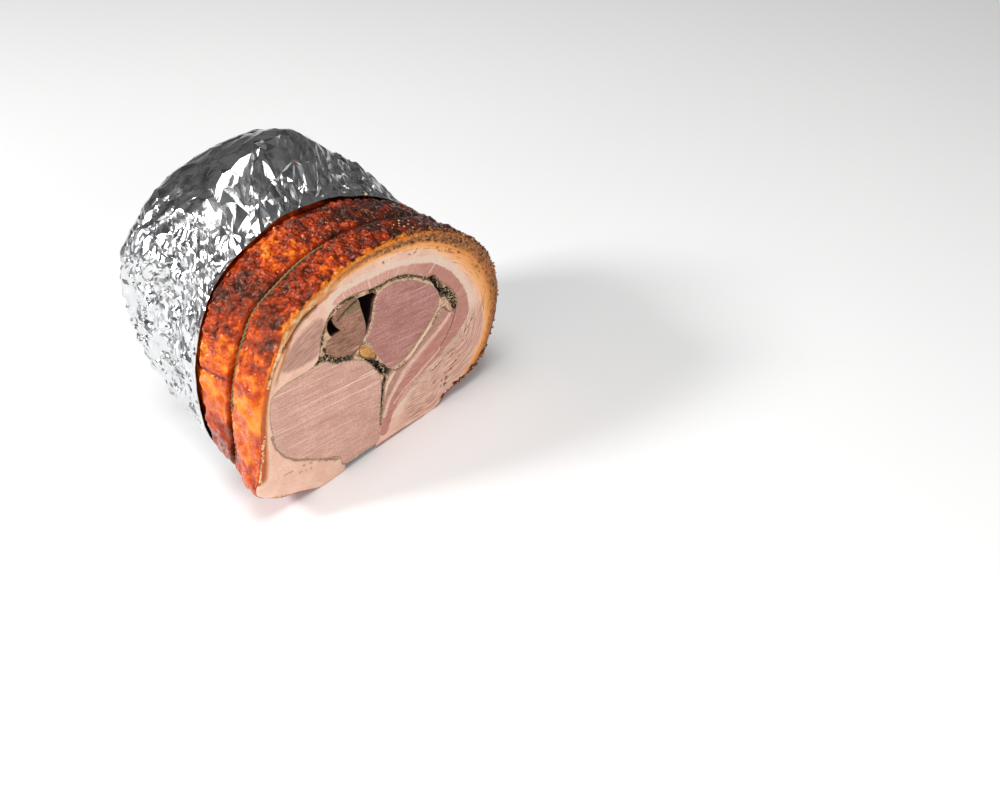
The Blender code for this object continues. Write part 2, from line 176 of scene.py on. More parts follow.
STRIP_GREY = [(63, 81), (57, 75), (46, 69), (36, 64.5), (25, 59.5), (15, 54), (6, 45), (0, 33), (-4, 20)]
STRIP_WHITE = [(71, 77), (63.5, 70.5), (54, 65), (42, 60), (30.5, 55), (20, 50), (12, 43), (4, 35), (-2, 24)]
STRIP_PINK = [(71, 69), (62, 61), (53, 55.5), (42, 51), (31, 45.5), (19, 39.5), (9, 32), (1, 21), (-3, 12)]
FINE_LINE = [(75, 76), (74, 72.5), (72.5, 67.5), (69, 62), (64, 56.5), (57.5, 51)]
PALE_LINES = [
    [(-10, 140), (-9, 137), (-7.5, 131.5)], [(20, 135.5), (16, 130.5)], [(53.5, 121.5), (48.5, 117)],
    [(63, 57), (55, 49), (45, 45), (33, 40), (18, 35.5), (8, 29)], [(-32, 140), (-31, 136)],
]
FLECK_LINES = [
    [(93, 60), (88, 54), (80, 48.5), (70, 42.5), (56, 38), (44, 35)],
    [(90, 50), (84, 46), (74, 40.5), (62, 35)],
    [(84, 36), (72, 30), (60, 26)],
]
BASE_SPOTS = [(58, 20.5), (63, 20), (61, 15.5), (57, 16), (68, 26), (50, 24)]
SLIT = [(-55, 142.5), (-63, 140.5), (-70.5, 136.8), (-77, 132), (-81.5, 128), (-86, 124.5)]
LOWER_SLIT = [(-90, 119.5), (-94.5, 114.5), (-98, 109), (-100, 103)]
WEDGE_LINES = [
    [(-96, 30), (-84, 29), (-72, 26), (-60, 20), (-50, 14)], [(-91, 24), (-80, 24), (-66, 19)],
    [(-99, 40), (-96, 37), (-92, 34.5)],
]
LOIN_SPLIT = [(-103, 66), (-101, 56), (-95, 45.5), (-86, 36.5), (-74, 29.5), (-61, 21.5), (-48, 14)]
RIGHT_SEAM = [(63, 82), (57, 78), (50, 74), (42, 69), (33, 63), (24, 58), (16, 56)]
CREAM_CHUNK = [(47, 74), (41, 70.5), (36, 67.5), (30, 63.5), (25, 60.5)]

# What shows in the herb seams: open cracks, coloured near-black as painted shade, and dark paste, each with
# half its width.
CRACKS = [
    ([(52, 112), (56, 105.5), (59, 99), (61.5, 93.5)], 2.0),
    ([(-6, 129.8), (-1, 130), (4, 130.6), (10, 129.8), (15, 128.4)], 0.9),
    ([(15, 128.4), (20, 127), (29, 124), (37, 120), (43.5, 115.3), (49.5, 111)], 0.5),
    ([(-15, 78.5), (-11, 73.6), (-5.6, 68), (-1, 63), (3, 59.6), (6, 58)], 1.7),
    ([(2.5, 58), (0, 54), (-1.3, 49), (-2.6, 42), (-4, 35), (-5.3, 27), (-7, 18)], 0.8),
    ([(-52, 108), (-50.6, 103), (-48, 98.6), (-43, 94), (-38.5, 91.2), (-33, 89.2), (-28, 88.6),
      (-22, 87.5)], 0.8),
    ([(-54, 114), (-52, 120), (-48.6, 125), (-45, 130), (-40, 132.4), (-33, 133.6), (-25, 133.4),
      (-19, 132)], 0.8),
]
PASTE = [
    ([(64, 95), (69, 89), (72.5, 82.5), (73.7, 77.5)], 3.4),
    ([(-14, 77), (-8, 71), (-2, 64.5), (4, 59)], 3.2),
    ([(-8, 130.5), (8, 131), (22, 127.8), (38, 121), (49, 112.5)], 1.5),
    ([(-61, 101.5), (-55, 101.5), (-49, 97.5), (-42, 92.5), (-30, 89)], 2.0),
    ([(-55, 112), (-50.5, 122.5)], 1.6),
    ([(1, 55), (-2.5, 42), (-6.5, 20)], 1.2),
]
CORE_CREASE = [(-38, 122.5), (-32, 126), (-26, 128), (-20.5, 129)]
CORE_SKIN = [(-31, 126.3), (-26, 126.5), (-21, 125.5)]
STREAK_TILT = math.radians(-8)
LEFT_MEAT_TILT = math.radians(18)

# ---------------------------------------------------------------- meshing

RIND_STEP = 0.7
FOOT_THINNING = 4     # only every so many-th column is kept under the foot
FACE_STEP = 0.9
FINE_FACE_STEP = 0.6
OUTER_ROWS = [
    *np.arange(0, 73, RIND_STEP), 76, 82, 90, 98, 106, 114, 122, 130, 138, 145, 149, ROAST_END_Y]
WALL_ROWS = [0, 0.8, 2, 4, 7, 11, 16, 24, 36, 60, 76, 90, 104, 130]
ROW_RATIO = 0.866       # the height of an even triangle, by its side
POINT_SCATTER = 0.22    # how far a face's points stray from an even grid, in spacings
BORDER_ROOM = 0.55      # the least room between them and the border, in spacings


def smooth_step(value, low, high):
    """0 below low, 1 above high, and a smooth rise between."""
    t = np.clip((value - low) / (high - low), 0.0, 1.0)
    return t * t * (3 - 2 * t)


def between(value, rise, fall):
    """0, up to 1 over one span, and back to 0 over a later one."""
    return smooth_step(value, *rise) * (1 - smooth_step(value, *fall))


def near_zero(value, full, reach):
    """1 near 0, down to 0 as the value's size goes from full to reach."""
    return 1 - smooth_step(np.abs(value), full, reach)


def mix(a, b, weight):
    return a + (b - a) * weight


def closed_curve(keys, per_span=10):
    """A smooth closed curve through the key points."""
    here = np.array(keys, float)
    before = np.roll(here, 1, axis=0)
    after = np.roll(here, -1, axis=0)
    beyond = np.roll(here, -2, axis=0)
    spans = []
    for t in np.arange(per_span) / per_span:
        bend = 2 * before - 5 * here + 4 * after - beyond
        twist = 3 * here - before - 3 * after + beyond
        spans.append(0.5 * (2 * here + (after - before) * t + bend * t**2 + twist * t**3))
    return np.stack(spans, axis=1).reshape(-1, 2)


def run_of(line):
    """The distance run along a line at each of its points."""
    return np.concatenate([[0], np.cumsum(np.hypot(*np.diff(line, axis=0).T))])


def at_run(line, run, at):
    """The places on a line at given distances run."""
    return np.stack([np.interp(at, run, column) for column in np.asarray(line).T], axis=-1)


def even_points(curve, spacing):
    """The closed curve's points again, at about the given spacing."""
    ring = np.vstack([curve, curve[:1]])
    run = run_of(ring)
    count = max(8, round(run[-1] / spacing))
    return at_run(ring, run, np.arange(count) * run[-1] / count)


def even_line(line, spacing):
    """Points along an open line, at about the given spacing."""
    line = np.array(line, float)
    run = run_of(line)
    return at_run(line, run, np.linspace(0, run[-1], max(2, round(run[-1] / spacing))))


def grown(points, distance):
    """The closed outline moved outwards by a distance."""
    along = np.roll(points, -1, axis=0) - np.roll(points, 1, axis=0)
    along /= np.hypot(along[:, 0], along[:, 1])[:, None]
    outward = np.stack([along[:, 1], -along[:, 0]], axis=1)
    x, z = points.T
    area = np.sum(x * np.roll(z, -1) - np.roll(x, -1) * z)
    return points + outward * distance * np.sign(area)


def on_face(flat):
    """Flat points as places on the cut face."""
    return np.stack([flat[:, 0], np.zeros(len(flat)), flat[:, 1]], axis=1)


def radius_by_angle(curve, centre):
    """The outline's radius about a centre, as a function of the angle."""
    dx, dz = (curve - np.array(centre)).T
    angle = np.arctan2(dz, dx) % math.tau
    radius = np.hypot(dx, dz)
    return lambda wanted: np.interp(wanted, angle, radius, period=math.tau)


def polar_points(pairs):
    angle, radius = np.array(pairs, float).T
    angle = np.radians(angle)
    return np.stack([radius * np.cos(angle), radius * np.sin(angle)], axis=1)


FACE_RADIUS = radius_by_angle(closed_curve(FACE_OUTLINE), FACE_CENTRE)
TIED_RADIUS = radius_by_angle(closed_curve(TIED_OUTLINE), FACE_CENTRE)
ROUND_RADIUS = radius_by_angle(closed_curve(polar_points(ROUND_RADII)), (0.0, 0.0))
END_RADIUS = radius_by_angle(closed_curve(polar_points(END_RADII)), (0.0, 0.0))


def section(angle, y):
    """Centre and outer radius of the parcel at depth y, before its end closes."""
    tuck = np.clip(y / TUCKED_Y, 0, 1)
    swell = smooth_step(y, TUCKED_Y, ROUND_Y)
    far = np.clip((y - ROUND_Y) / (TAPERED_Y - ROUND_Y), 0, 1)
    taper = far * far * (1 + TAPER_EASE) / (far + TAPER_EASE)
    centre_x = mix(mix(FACE_CENTRE[0], ROUND_CENTRE[0], swell), END_CENTRE[0], taper)
    centre_z = mix(mix(FACE_CENTRE[1], ROUND_CENTRE[1], swell), END_CENTRE[1], taper)
    tied = mix(FACE_RADIUS(angle), TIED_RADIUS(angle), tuck)
    radius = mix(mix(tied, ROUND_RADIUS(angle), swell), END_RADIUS(angle), taper)
    return centre_x, centre_z, radius


def dome_scale(y):
    """How much of the full section is left at depth y, where the end closes."""
    t = np.clip((y - DOME_START_Y) / (PARCEL_END_Y - DOME_START_Y), 0, 1)
    return (1 - t**DOME_POWER) ** (1 / DOME_POWER)


def groove(y):
    """1 in the tied groove, 0 beside it."""
    return near_zero(y - TIE_Y, GROOVE_FLAT, GROOVE_REACH)


def floor_height(y):
    """Height of the roast's flat foot: over the twine, and on the foil further back."""
    over_twine = 2 * TWINE_RADIUS + 0.8
    on_foil = FOIL_THICKNESS + 0.7
    return groove(y) * over_twine + smooth_step(y, RIM_LOW_Y - 5, RIM_LOW_Y - 1.5) * on_foil


def rim_y(a):
    """Depth of the foil's mouth: further back over the top, and a little ragged."""
    high = smooth_step(np.sin(a), 0.2, 1.0)
    return mix(RIM_LOW_Y, RIM_HIGH_Y, high) + 0.7 * np.sin(5 * a) + 0.5 * np.sin(11 * a + 1)


def meat_radius(angle, y, inset_from=RIM_LOW_Y):
    """Centre and radius of the roast at depth y, drawn in behind the foil's mouth."""
    centre_x, centre_z, radius = section(angle, y)
    inset = FOIL_ROOM * smooth_step(y, inset_from - 5, inset_from + 3)
    return centre_x, centre_z, radius * dome_scale(y) - inset


def carried_ring(points, y):
    """Points of the cut face, carried to depth y with their place in the section."""
    offset = points - np.array(FACE_CENTRE)
    angle = np.arctan2(offset[:, 1], offset[:, 0]) % math.tau
    centre_x, centre_z, radius = meat_radius(angle, y)
    ratio = radius / FACE_RADIUS(angle)
    return np.stack([centre_x + offset[:, 0] * ratio, centre_z + offset[:, 1] * ratio], axis=1)


def carried(points, y):
    """The same, straight between the solids' own rows."""
    y_inside = min(max(y, MEAT_ROWS[0]), MEAT_ROWS[-1])
    row = int(np.searchsorted(MEAT_ROWS, y_inside, side="right"))
    row = min(row, len(MEAT_ROWS) - 1)
    low, high = MEAT_ROWS[row - 1], MEAT_ROWS[row]
    part_way = (y_inside - low) / (high - low)
    flat = mix(carried_ring(points, low), carried_ring(points, high), part_way)
    return np.stack([flat[:, 0], np.full(len(points), float(y)), flat[:, 1]], axis=1)


def crackle_height(point):
    """The broad blisters that the solids have too."""
    place = Vector(point)
    broad = noise.noise(place / BLISTER_PITCH)
    fine = noise.noise(place / FINE_BLISTER_PITCH + Vector((9, 3, 5)))
    return CRACKLE * (broad + 0.7 * fine)


def bulge(angle, y):
    """How far the rind stands out between its ties; most at the upper left."""
    if y < TIE_Y:
        swell = math.sin(math.pi * y / TIE_Y)
    else:
        swell = math.sin(math.pi * min((y - TIE_Y) / (SECOND_TIE_Y - TIE_Y), 1))
    side = np.clip(np.cos(angle - math.radians(140)), 0, 1)
    return BULGE * max(swell, 0) ** BULGE_ROUNDING * mix(LEAST_BULGE, 1, side)


# ---------------------------------------------------------------- noise

HASH = np.random.default_rng(11).permutation(256)
DIRECTIONS = np.random.default_rng(12).normal(size=(256, 3))
DIRECTIONS /= np.linalg.norm(DIRECTIONS, axis=1)[:, None]
SCATTER = np.random.default_rng(13).uniform(0, 1, size=(256, 3))


WAVE_GAIN = 1.6      # brings the smooth noise to about -1 to 1


def cell_number(cell, seed):
    """A fixed random number from 0 to 255 for each cell of space."""
    first = HASH[(cell[:, 0] + 37 * seed) & 255]
    second = HASH[(first + cell[:, 1]) & 255]
    return HASH[(second + cell[:, 2]) & 255]


def waves(points, pitch, seed):
    """Smooth noise from about -1 to 1, its bumps about a pitch apart."""
    place = np.asarray(points, float) / np.asarray(pitch, float)
    cell = np.floor(place).astype(int)
    part_way = place - cell
    fade = part_way**3 * (part_way * (part_way * 6 - 15) + 10)
    total = np.zeros(len(place))
    for corner in np.ndindex(2, 2, 2):
        slope = DIRECTIONS[cell_number(cell + corner, seed)]
        weight = np.prod(np.where(corner, fade, 1 - fade), axis=1)
        total += weight * np.sum(slope * (part_way - corner), axis=1)
    return total * WAVE_GAIN


def cells(points, pitch, seed):
    """Distance to the nearest scattered centre, and that centre's own number from 0 to 1."""
    place = np.asarray(points, float) / np.asarray(pitch, float)
    cell = np.floor(place).astype(int)
    nearest = np.full(len(place), np.inf)
    owner = np.zeros(len(place))
    for corner in np.ndindex(3, 3, 3):
        there = cell + corner - 1
        number = cell_number(there, seed)
        distance = np.linalg.norm(place - there - SCATTER[number], axis=1)
        closer = distance < nearest
        owner = np.where(closer, number / 255, owner)
        nearest = np.minimum(nearest, distance)
    return nearest, owner


# ---------------------------------------------------------------- flat regions of the cut face

def distance_to(points, line, closed=False):
    """Distance from each point to a line through the given points."""
    start = np.array(line, float)
    end = np.roll(start, -1, axis=0) if closed else start[1:]
    best = np.full(len(points), np.inf)
    for a, b in zip(start, end):
        run = b - a
        length = max(run @ run, 1e-9)
        t = np.clip(((points - a) @ run) / length, 0, 1)
        best = np.minimum(best, np.hypot(*(points - a - t[:, None] * run).T))
    return best


def inside(points, outline):
    """Whether each point lies inside the closed outline."""
    x, z = points.T
    odd = np.zeros(len(points), bool)
    for (x1, z1), (x2, z2) in zip(outline, np.roll(outline, -1, axis=0)):
        if z1 != z2:
            crosses = (z1 > z) != (z2 > z)
            odd ^= crosses & (x < x1 + (z - z1) * (x2 - x1) / (z2 - z1))
    return odd


def near_line(points, line, half_width, jitter=0.0):
    """1 on a line and 0 beyond its width, with a soft edge; jitter makes the edge uneven."""
    away = distance_to(points, line) + jitter
    return 1 - smooth_step(away, half_width * 0.6, half_width * 1.3)


def depth_inside(points, keys):
    """Distance to a smooth closed outline, positive inside it."""
    outline = closed_curve(keys, 4)
    sign = np.where(inside(points, outline), 1.0, -1.0)
    return sign * distance_to(points, outline, closed=True)


def in_region(points, loops):
    """Whether each point lies inside the first loop and outside the others."""
    result = inside(points, loops[0])
    for hole in loops[1:]:
        result &= ~inside(points, hole)
    return result


SAME_POINT = 1e-4       # points closer than this are taken as one
ON_OUTLINE = 0.02       # a border point this close to an outline belongs to it


def triangulate(points, edges):
    flat, _, faces, origins, _, _ = geometry.delaunay_2d_cdt(
        [Vector(p) for p in points], edges, [], 0, SAME_POINT)
    return np.array([tuple(p) for p in flat]), np.array(faces), origins


def face_triangles(loops, spacing, seed):
    """Fine triangles of the region inside the first loop and outside the others."""
    low, high = loops[0].min(axis=0), loops[0].max(axis=0)
    rows = []
    for row, z in enumerate(np.arange(low[1], high[1], spacing * ROW_RATIO)):
        x = np.arange(low[0] + (row % 2) * spacing / 2, high[0], spacing)
        rows.append(np.stack([x, np.full(len(x), z)], axis=1))
    fill = np.vstack(rows)
    fill += np.random.default_rng(seed).uniform(-POINT_SCATTER, POINT_SCATTER, fill.shape) * spacing
    keep = in_region(fill, loops)
    for loop in loops:
        keep &= distance_to(fill, loop, closed=True) > BORDER_ROOM * spacing
    points = np.vstack(list(loops) + [fill[keep]])
    edges = []
    first = 0
    for loop in loops:
        count = len(loop)
        edges += [(first + i, first + (i + 1) % count) for i in range(count)]
        first += count
    flat, faces, _ = triangulate(points, edges)
    faces = faces[in_region(flat[faces].mean(axis=1), loops)]
    used, renumbered = np.unique(faces, return_inverse=True)
    return flat[used], renumbered.reshape(-1, 3)


def edges_of(faces):
    return np.vstack([faces[:, [0, 1]], faces[:, [1, 2]], faces[:, [2, 0]]])


def border_edges(faces):
    """The directed edges that only one triangle has."""
    edges = edges_of(faces).tolist()
    have = set(map(tuple, edges))
    return [(a, b) for a, b in edges if (b, a) not in have]


def stitch(left, right, depth):
    """Triangles between two columns of vertices, both from front to back."""
    i = j = 0
    faces = []
    while i < len(left) - 1 or j < len(right) - 1:
        at_end = j == len(right) - 1
        if at_end or (i < len(left) - 1 and depth[left[i + 1]] <= depth[right[j + 1]]):
            faces.append((left[i], right[j], left[i + 1]))
            i += 1
        else:
            faces.append((left[i], right[j], right[j + 1]))
            j += 1
    return faces


def cut_solid(loops, spacing, seed, end_y, outer=None):
    """A closed solid behind a region of the cut face, back to end_y.

    Where outer is given, it says which border points lie on the roast's outside, and gives their
    own rows and function. Returns the points, the triangles, how many points are on the face, the
    outside's points, and which triangles are outside.
    """
    flat, face = face_triangles(loops, spacing, seed)
    edges = border_edges(face)
    border = sorted({v for edge in edges for v in edge})
    points = [on_face(flat)]
    count = len(flat)
    columns = {v: [v] for v in border}
    outside = np.zeros(count, bool)
    groups = [(WALL_ROWS + [end_y], carried)]
    if outer:
        on_outside, outer_rows, outer_point = outer
        outside[border] = on_outside(flat[border])
        groups.append((outer_rows, outer_point))
    outside_points = [v for v in border if outside[v]]
    for group, (rows, place) in enumerate(groups):
        members = [v for v in border if outside[v] == bool(group)]
        for y in rows[1:]:
            points.append(place(flat[members], y))
            for v in members:
                columns[v].append(count)
                count += 1
            if group:
                outside_points += [columns[v][-1] for v in members]
    points = np.vstack(points)
    depth = points[:, 1]
    faces = face.tolist()
    sides = []
    for a, b in edges:
        strip = stitch(columns[b], columns[a], depth)
        sides += [outside[a] and outside[b]] * len(strip)
        faces += strip
    spot = {v: i for i, v in enumerate(border)}
    ends = flat[border]
    _, cap, origins = triangulate(ends, [(spot[a], spot[b]) for a, b in edges])
    cap = np.array([origins[i][0] for i in cap.ravel()]).reshape(-1, 3)
    for a, b, c in cap[in_region(ends[cap].mean(axis=1), loops)]:
        faces.append(tuple(columns[border[i]][-1] for i in (a, c, b)))
    outer_faces = np.zeros(len(faces), bool)
    outer_faces[len(face):len(face) + len(sides)] = sides
    return points, faces, len(flat), np.array(outside_points, int), outer_faces


# ---------------------------------------------------------------- objects and materials

def in_metres(points):
    return (np.asarray(points) - np.array([BOX_MIDDLE_X, BOX_MIDDLE_Y, 0])) * MM


def placed(name, data):
    """A new object in the scene."""
    thing = bpy.data.objects.new(name, data)
    bpy.context.scene.collection.objects.link(thing)
    return thing


def add_piece(name, node, points, faces, looks, fields=None, sharp_degrees=None, first_look=None):
    """A mesh object from points in millimetres, in the place of the solid node where one is given.

    The fields are per point, and first_look says which faces have the first of two looks.
    """
    mesh = bpy.data.meshes.new(name)
    inside_box = np.clip(in_metres(points), CAD_BOX[0], CAD_BOX[1])
    mesh.from_pydata(inside_box.tolist(), [], [tuple(f) for f in faces])
    for look in looks:
        mesh.materials.append(look)
    for field, values in (fields or {}).items():
        values = np.asarray(values, np.float32)
        kind, member = ("FLOAT_VECTOR", "vector") if values.ndim == 2 else ("FLOAT", "value")
        mesh.attributes.new(field, kind, "POINT").data.foreach_set(member, values.ravel())
    mesh.shade_smooth()
    if sharp_degrees:
        mesh.set_sharp_from_angle(angle=math.radians(sharp_degrees))
    mesh.validate()
    if first_look is not None:
        mesh.polygons.foreach_set("material_index", np.where(first_look, 0, 1).astype(np.int32))
    piece = placed(name, mesh)
    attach(piece, "root")
    if node:
        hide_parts(node)


def colour(red, green, blue):
    """A screen colour from 0 to 255 as the linear one that shaders use."""
    levels = np.array([red, green, blue]) / 255
    linear = np.where(levels <= 0.04045, levels / 12.92, ((levels + 0.055) / 1.055) ** 2.4)
    return (*linear.tolist(), 1.0)


class Nodes:
    """Short calls for shader nodes; a value may be a number, a screen colour or a socket."""

    def __init__(self, tree):
        self.tree = tree

    def feed(self, socket, value):
        if isinstance(value, bpy.types.NodeSocket):
            self.tree.links.new(value, socket)
        elif socket.type == "RGBA":
            socket.default_value = colour(*value)
        else:
            socket.default_value = value

    def node(self, kind, inputs, **settings):
        node = self.tree.nodes.new("ShaderNode" + kind)
        for name, setting in settings.items():
            setattr(node, name, setting)
        for key, value in inputs.items():
            self.feed(node.inputs[key], value)
        return node

    def math(self, operation, a, b):
        return self.node("Math", {0: a, 1: b}, operation=operation).outputs[0]

    def add(self, a, b):
        return self.math("ADD", a, b)

    def times(self, a, b):
        return self.math("MULTIPLY", a, b)

    def ramp(self, value, *stops):
        """Colours along a value: each stop is a position with a screen colour or a linear grey."""
        node = self.node("ValToRGB", {"Fac": value})
        elements = node.color_ramp.elements
        shades = [colour(*shade) if len(shade) == 3 else (*shade * 3, 1.0) for _, *shade in stops]
        elements[0].position, elements[0].color = stops[0][0], shades[0]
        elements[1].position, elements[1].color = stops[-1][0], shades[-1]
        for stop, shade in list(zip(stops, shades))[1:-1]:
            elements.new(stop[0]).color = shade
        return node.outputs["Color"]


class Look(Nodes):
    """A material put together from short node calls."""

    def __init__(self, name):
        self.material = bpy.data.materials.new(name)
        self.material.use_nodes = True
        super().__init__(self.material.node_tree)
        self.shader = self.tree.nodes["Principled BSDF"]
        self.place = self.node("TexCoord", {}).outputs["Object"]

    def field(self, name, output="Fac"):
        return self.node("Attribute", {}, attribute_name=name).outputs[output]

    def centred(self, value, size):
        """A value from 0 to 1 as one from -size/2 to size/2."""
        return self.times(self.add(value, -0.5), size)

    def step(self, value, low, high):
        """0 at low, 1 at high, smooth between; high may be the lower number."""
        return self.node("MapRange", {
            "Value": value, "From Min": min(low, high), "From Max": max(low, high),
            "To Min": float(low > high), "To Max": float(low < high)},
            interpolation_type="SMOOTHSTEP").outputs["Result"]

    def scaled(self, pitch, turn=0.0, source=None):
        """Coordinates in which one unit is a pitch, given in millimetres along each axis."""
        pitch = (pitch,) * 3 if isinstance(pitch, (int, float)) else pitch
        unit = 1.0 if source is None else MM
        place = self.place if source is None else source
        if turn:
            place = self.node("Mapping", {"Vector": place, "Rotation": (0.0, turn, 0.0)}).outputs[0]
        return self.node("Mapping", {"Vector": place, "Scale": [unit / (p * MM) for p in pitch]}).outputs[0]

    def grain(self, pitch, detail=2.0, rough=0.5, turn=0.0, source=None, warp=0.0):
        """Smooth noise from 0 to 1, its bumps a pitch apart."""
        return self.node("TexNoise", {
            "Vector": self.scaled(pitch, turn, source), "Scale": 1.0, "Detail": detail,
            "Roughness": rough, "Distortion": warp}).outputs["Fac"]

    def spots(self, pitch, warp=0.0):
        """Distance to the nearest of scattered centres, in pitches; a warp makes shapes uneven."""
        place = self.scaled(pitch)
        if warp:
            sway = self.node("TexNoise", {"Vector": place, "Scale": 1.3}).outputs["Color"]
            place = self.node("VectorMath", {0: sway, 1: (warp,) * 3, 2: place},
                              operation="MULTIPLY_ADD").outputs["Vector"]
        return self.node("TexVoronoi", {"Vector": place, "Scale": 1.0}).outputs["Distance"]

    def blend(self, weight, a, b):
        """Colour a, turning to b with the weight."""
        return self.node("Mix", {0: weight, 6: a, 7: b}, data_type="RGBA").outputs[2]

    def over(self, base, shade, value, low, high, strength=1.0):
        """The base colour, turned to the shade by a strength as a value goes from low to high."""
        weight = self.step(value, low, high)
        return self.blend(weight if strength == 1.0 else self.times(weight, strength), base, shade)

    def marked(self, base, field, shade):
        """The base colour, turning to the shade with a field."""
        return self.blend(self.field(field), base, shade)

    def bump(self, height, depth_mm, strength=1.0):
        node = self.node("Bump", {"Strength": strength, "Distance": depth_mm * MM, "Height": height})
        for socket in ("Normal", "Coat Normal"):
            self.feed(self.shader.inputs[socket], node.outputs["Normal"])

    def set(self, **values):
        for name, value in values.items():
            self.feed(self.shader.inputs[name.replace("_", " ")], value)
        return self.material


HERB_STAIN = (140, 116, 84)
# Painted shade: the colour that cut faces turn to deeper inside pockets and gaps.
POCKET_PAINTED_SHADE = (30, 19, 13)


def crackling_look():
    """Roasted rind: amber to near black by how much it roasted, with painted light on blister crests and
    painted shade in hollows, groove and fold; blistered and glossy with fat.
    """
    look = Look("crackling")
    bubbly = look.field("bubbly")
    fine = look.grain(1.3, 3.0, 0.6)
    patchy = look.times(look.centred(look.grain(6.5, 4.0, 0.62), 0.7), look.add(look.times(bubbly, 0.5), 0.5))
    large, small = (look.math("POWER", look.spots(pitch, 0.7), 2.0) for pitch in (4.4, 2.5))
    # Hollows between blisters: used for the bump, and for painted shade in the colour.
    hollow_bump_and_shade = look.add(look.times(large, 0.7), look.times(small, 0.45))
    # The roast field: how dark the rind roasted, plus painted shade in the tied groove and along the fold.
    level = look.add(look.field("roast"), patchy)
    level = look.add(level, look.centred(fine, 0.3))
    # Painted highlight: blister tops lighter, together with the thin puffed skin's paler colour.
    level = look.add(level, look.times(look.field("crest_painted_light"), -0.24))
    # Painted shade: darker in the hollows between blisters, together with their deeper roast.
    level = look.add(level, look.times(look.add(look.times(hollow_bump_and_shade, 0.42), -0.08), bubbly))
    skin = look.ramp(
        level, (0.0, 228, 138, 44), (0.1, 220, 110, 10), (0.22, 200, 78, 0), (0.34, 174, 52, 0),
        (0.48, 140, 38, 2), (0.62, 108, 30, 6), (0.78, 76, 24, 10), (1.0, 44, 18, 10))
    golden = look.ramp(fine, (0.34, 170, 74, 10), (0.5, 226, 118, 18), (0.64, 240, 156, 50))
    skin = look.marked(skin, "golden", golden)
    freckle = look.times(look.step(look.spots(2.6), 0.2, 0.06), look.field("freckles"))
    skin = look.blend(freckle, skin, (104, 34, 14))
    wrinkle = look.times(look.grain((7.0, 2.6, 2.6), 1.0, 0.5, warp=0.4), 0.45)
    smooth_skin = look.times(look.math("SUBTRACT", 1.0, bubbly), wrinkle)
    look.bump(look.add(look.times(hollow_bump_and_shade, look.times(bubbly, -1.0)), smooth_skin), 2.4)
    return look.set(Base_Color=skin, Roughness=0.14, Specular_IOR_Level=0.5,
                    Specular_Tint=(255, 196, 150), Coat_Weight=0.35, Coat_Roughness=0.07)


def streaked(look, weight, pale, dark):
    """A colour between two, by a streak pattern."""
    return look.over(pale, dark, weight, 0.36, 0.64)


def belly_layers(look, jitter, along, across):
    """Fat and muscle of the belly, with the strips beside the collar muscle."""
    def near(field, sway):
        return look.add(look.field(field), look.times(jitter, sway))

    fat = look.over((248, 206, 182), (238, 190, 166), look.grain(14.0), 0.35, 0.65)
    fat = look.over(fat, (212, 152, 130), along, 0.5, 0.66, 0.2)
    muscle = look.add(look.field("muscle"), jitter)
    fat = look.over(fat, (238, 212, 192), muscle, -7.0, -4.0, 0.8)
    lean = look.times(look.field("lean"), look.step(along, 0.4, 0.6))
    fat = look.blend(look.times(lean, 0.85), fat, (178, 126, 110))
    pale_red = streaked(look, across, (232, 180, 160), (206, 148, 132))
    red = look.marked(pale_red, "right_side", streaked(look, across, (204, 146, 130), (176, 114, 100)))
    red = look.over(red, (232, 194, 176), across, 0.6, 0.68, 0.6)
    result = look.over(fat, red, muscle, -0.8, 0.6)
    grey = streaked(look, along, (196, 150, 132), (168, 122, 106))
    result = look.over(result, grey, near("strip_grey", 0.4), 3.6, 2.8)
    pink = streaked(look, along, (208, 148, 132), (180, 114, 102))
    result = look.over(result, pink, near("strip_pink", 0.5), 5.2, 4.0)
    white = streaked(look, along, (238, 204, 186), (220, 174, 154))
    result = look.over(result, white, near("strip_white", 0.5), 2.4, 1.2)
    return look.over(result, (238, 208, 190), near("pale_lines", 0.3), 0.9, 0.3, 0.8)


def rind_layers(look, along, crumb):
    """The rind's cut edge: crust, rough brown layer, then tan that pales into the fat."""
    layer = look.add(look.add(look.field("layer"), look.centred(along, 0.5)), look.centred(crumb, 0.2))
    edge = look.ramp(
        layer, (0.0, 58, 30, 16), (0.1, 124, 62, 24), (0.22, 184, 104, 44), (0.4, 214, 134, 60),
        (0.6, 238, 158, 84), (0.8, 246, 178, 116), (1.0, 250, 198, 162))
    edge = look.over(edge, (138, 78, 38), along, 0.43, 0.36, 0.75)
    crumbs = look.add(crumb, look.times(look.field("granular"), 0.14))
    rough = look.ramp(
        crumbs, (0.34, 36, 20, 12), (0.44, 88, 50, 22), (0.54, 154, 96, 48), (0.66, 210, 154, 100))
    golden = look.over((208, 106, 26), (240, 156, 56), crumb, 0.4, 0.6)
    return look.marked(look.marked(edge, "crumbly", rough), "gold_edge", golden)


